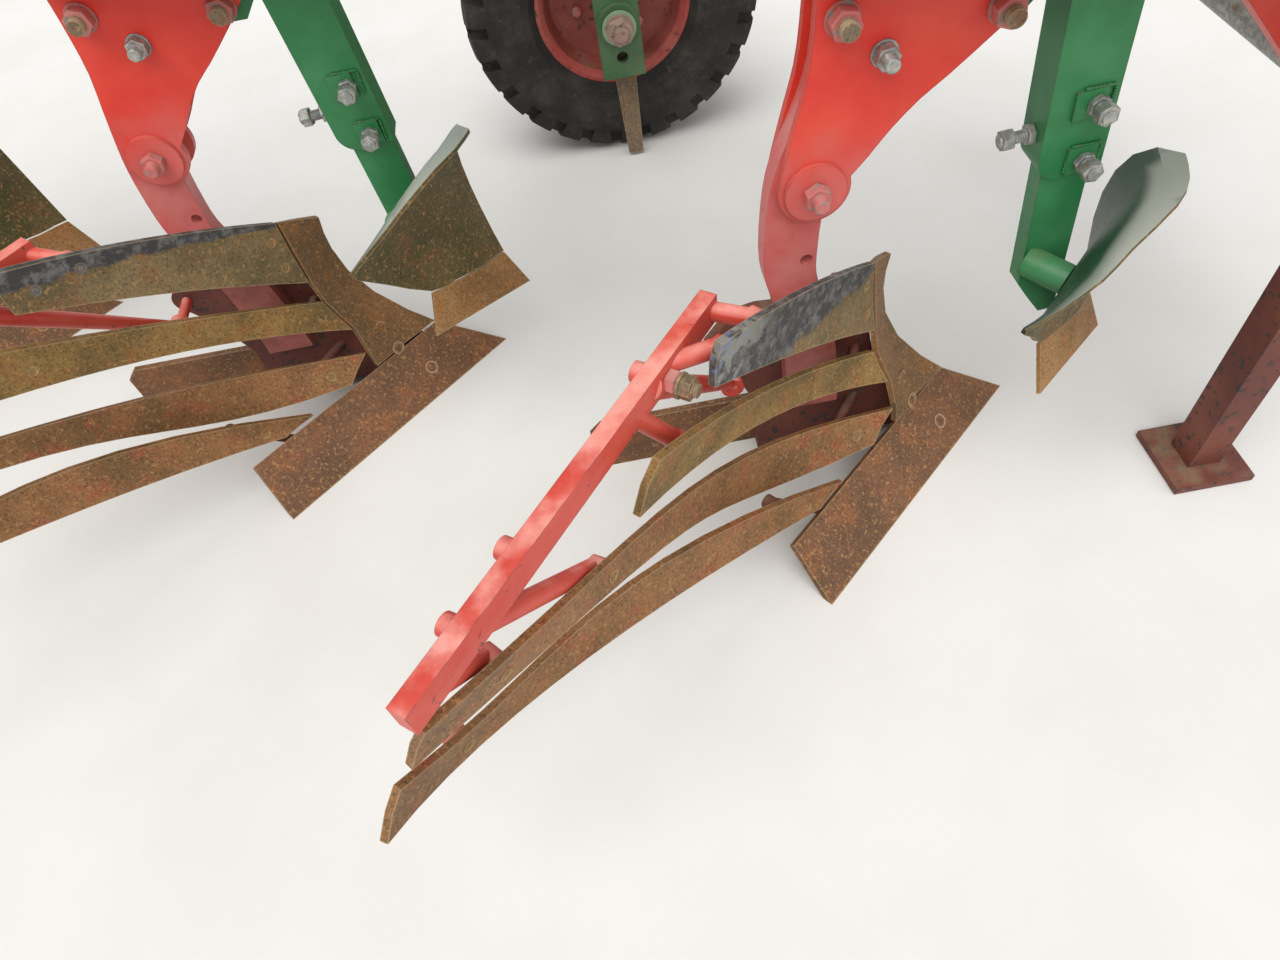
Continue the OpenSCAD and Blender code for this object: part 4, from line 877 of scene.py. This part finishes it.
def wheel_carrier_details():
    """Bolts, nuts and weld beads of the wheel's arm, sleeve and leg."""
    corner = CORNERS[1]
    off_beam = Matrix.Rotation(BEAM_TURN, 3, "Z") @ Vector((0, 1, 0))
    rows = [(NUT_OLD, beside_beam(x, FLANGE_FACE, z), off_beam)
            for x in FLANGE_BOLTS for z in FLANGE_BOLTS_HIGH]
    fasten("arm_bolts", rows, corner)
    rows = [(NUT_AXLE, WHEEL_AXLE + Vector((0, AXLE_NUT, 0)), RIGHT)]
    fasten("axle_nut", rows, corner, "wheel_leg")
    back, front = WHEEL_AXLE.x - SLEEVE_HALF, WHEEL_AXLE.x + SLEEVE_HALF
    runs = [((back, SLEEVE_FACE, z), (front, SLEEVE_FACE, z)) for z in (ARM_TOP, ARM_UNDER)]
    runs += [((x, SLEEVE_FACE, ARM_UNDER), (x, SLEEVE_FACE, ARM_TOP)) for x in (back, front)]
    runs += [[beside_beam(x, FLANGE_FACE + 1.5, z) for x in FLANGE_BEAD] for z in (ARM_UNDER, ARM_TOP)]
    weld("arm_welds", runs, corner, GREEN)


def tyre_ring(middle, radius, thick):
    """A thin raised ring on the tyre's wall, flattened towards the rubber."""
    bpy.ops.object.select_all(action="DESELECT")
    bpy.ops.mesh.primitive_torus_add(major_segments=96, minor_segments=8, major_radius=radius * MM,
                                     minor_radius=thick * MM, location=middle, rotation=(math.pi / 2, 0, 0))
    ring = settle(bpy.context.object, "tyre_ring", RUBBER)
    begin(ring)
    bpy.ops.transform.resize(value=(1, RING_FLAT, 1), center_override=middle)
    end()
    return ring


def wheel_details():
    """What turns with the wheel: bolts of its disc, hub cap, valve and the rings of the tyre's walls."""
    rows = [(HUB_CAP, WHEEL_AXLE + Vector((0, HUB_LEFT, 0)), LEFT),
            (VALVE, WHEEL_AXLE + Vector((VALVE_OUT, DISC_LEFT, 0)), LEFT)]
    for k in range(DISC_BOLTS):
        turn = math.radians(360 / DISC_BOLTS * k + DISC_FIRST)
        place = WHEEL_AXLE + Vector((math.cos(turn), 0, math.sin(turn))) * DISC_CIRCLE
        rows.append((NUT_WHEEL, place + Vector((0, DISC_LEFT, 0)), LEFT))
        rows.append((NUT_WHEEL, place + Vector((0, DISC_RIGHT, 0)), RIGHT))
    fasten("wheel_bolts", rows, CORNERS[1], "wheel")
    rings = []
    for radius, out, thick in TYRE_RINGS:
        for side in (-1, 1):
            middle = CORNERS[1] + (WHEEL_AXLE + Vector((0, side * out, 0))) * MM
            rings.append(tyre_ring(middle, radius, thick))
    carry(join("tyre_wall_rings", rings), "wheel")


def finish_rim():
    """The rim: its flanges a brighter red than its disc."""
    piece = smooth_copy("wheel_rim")
    paint(piece, RIM_RED, RIM_EDGE)
    hub = CORNERS[1] + WHEEL_AXLE * MM
    for face in piece.data.polygons:
        face.material_index = 1 if (face.center - hub).xz.length > RIM_FLANGE else 0


def finish_screw():
    """The wheel's screw: its plain rod turned down to the root and wound with a square ridge."""
    piece = smooth_copy("wheel_screw")
    paint(piece, ZINC)
    axis = CORNERS[1] + SCREW_FOOT * MM
    begin(piece, lambda vertex: (vertex.co - axis).xy.length < SCREW_ROD * MM, "VERT")
    bpy.ops.transform.resize(value=(SCREW_ROOT, SCREW_ROOT, 1), center_override=axis)
    end()
    bpy.ops.object.select_all(action="DESELECT")
    bpy.ops.mesh.primitive_circle_add(vertices=4, radius=RIDGE_SIZE * MM, fill_type="NGON", location=axis)
    thread = bpy.context.object
    begin(thread)
    bpy.ops.transform.rotate(value=math.pi / 2, orient_axis="X", center_override=axis)
    bpy.ops.transform.translate(value=(RIDGE_MIDDLE * MM, 0, 0))
    bpy.ops.mesh.delete(type="ONLY_FACE")
    end()
    wound = thread.modifiers.new("thread", "SCREW")
    wound.axis, wound.screw_offset, wound.iterations = "Z", SCREW_PITCH * MM, SCREW_TURNS
    wound.steps = wound.render_steps = 14
    wound.use_normal_calculate = True
    single(thread)
    bpy.ops.object.modifier_apply(modifier=wound.name)
    begin(thread)
    bpy.ops.mesh.remove_doubles(threshold=0.01 * MM)
    bpy.ops.mesh.fill_holes(sides=6)
    bpy.ops.mesh.normals_make_consistent(inside=False)
    end()
    carry(settle(thread, "screw_thread", ZINC), "root")


for i in BODIES:
    finish_slats(i)
    finish_skimmer(i)
    finish_stem(i)
    body_fasteners(i)
    body_welds(i)
SMOOTHED_PARTS = ("shin", "skimmer_share", "stay", "shank", "leg", "frog")
for node in [f"{part}_{i}" for part in SMOOTHED_PARTS for i in BODIES]:
    paint(smooth_copy(node), FINISH[node])
for node in ("wheel_tyre", "link_shaft", "wheel_leg", "mast"):
    paint(smooth_copy(node), FINISH[node])
headstock_details()
wheel_carrier_details()
wheel_details()
finish_rim()
finish_screw()
for template in TEMPLATES:
    bpy.data.objects.remove(template)

make_stage()
make_lamps()
make_camera()
bpy.context.scene.view_settings.view_transform = "Standard"
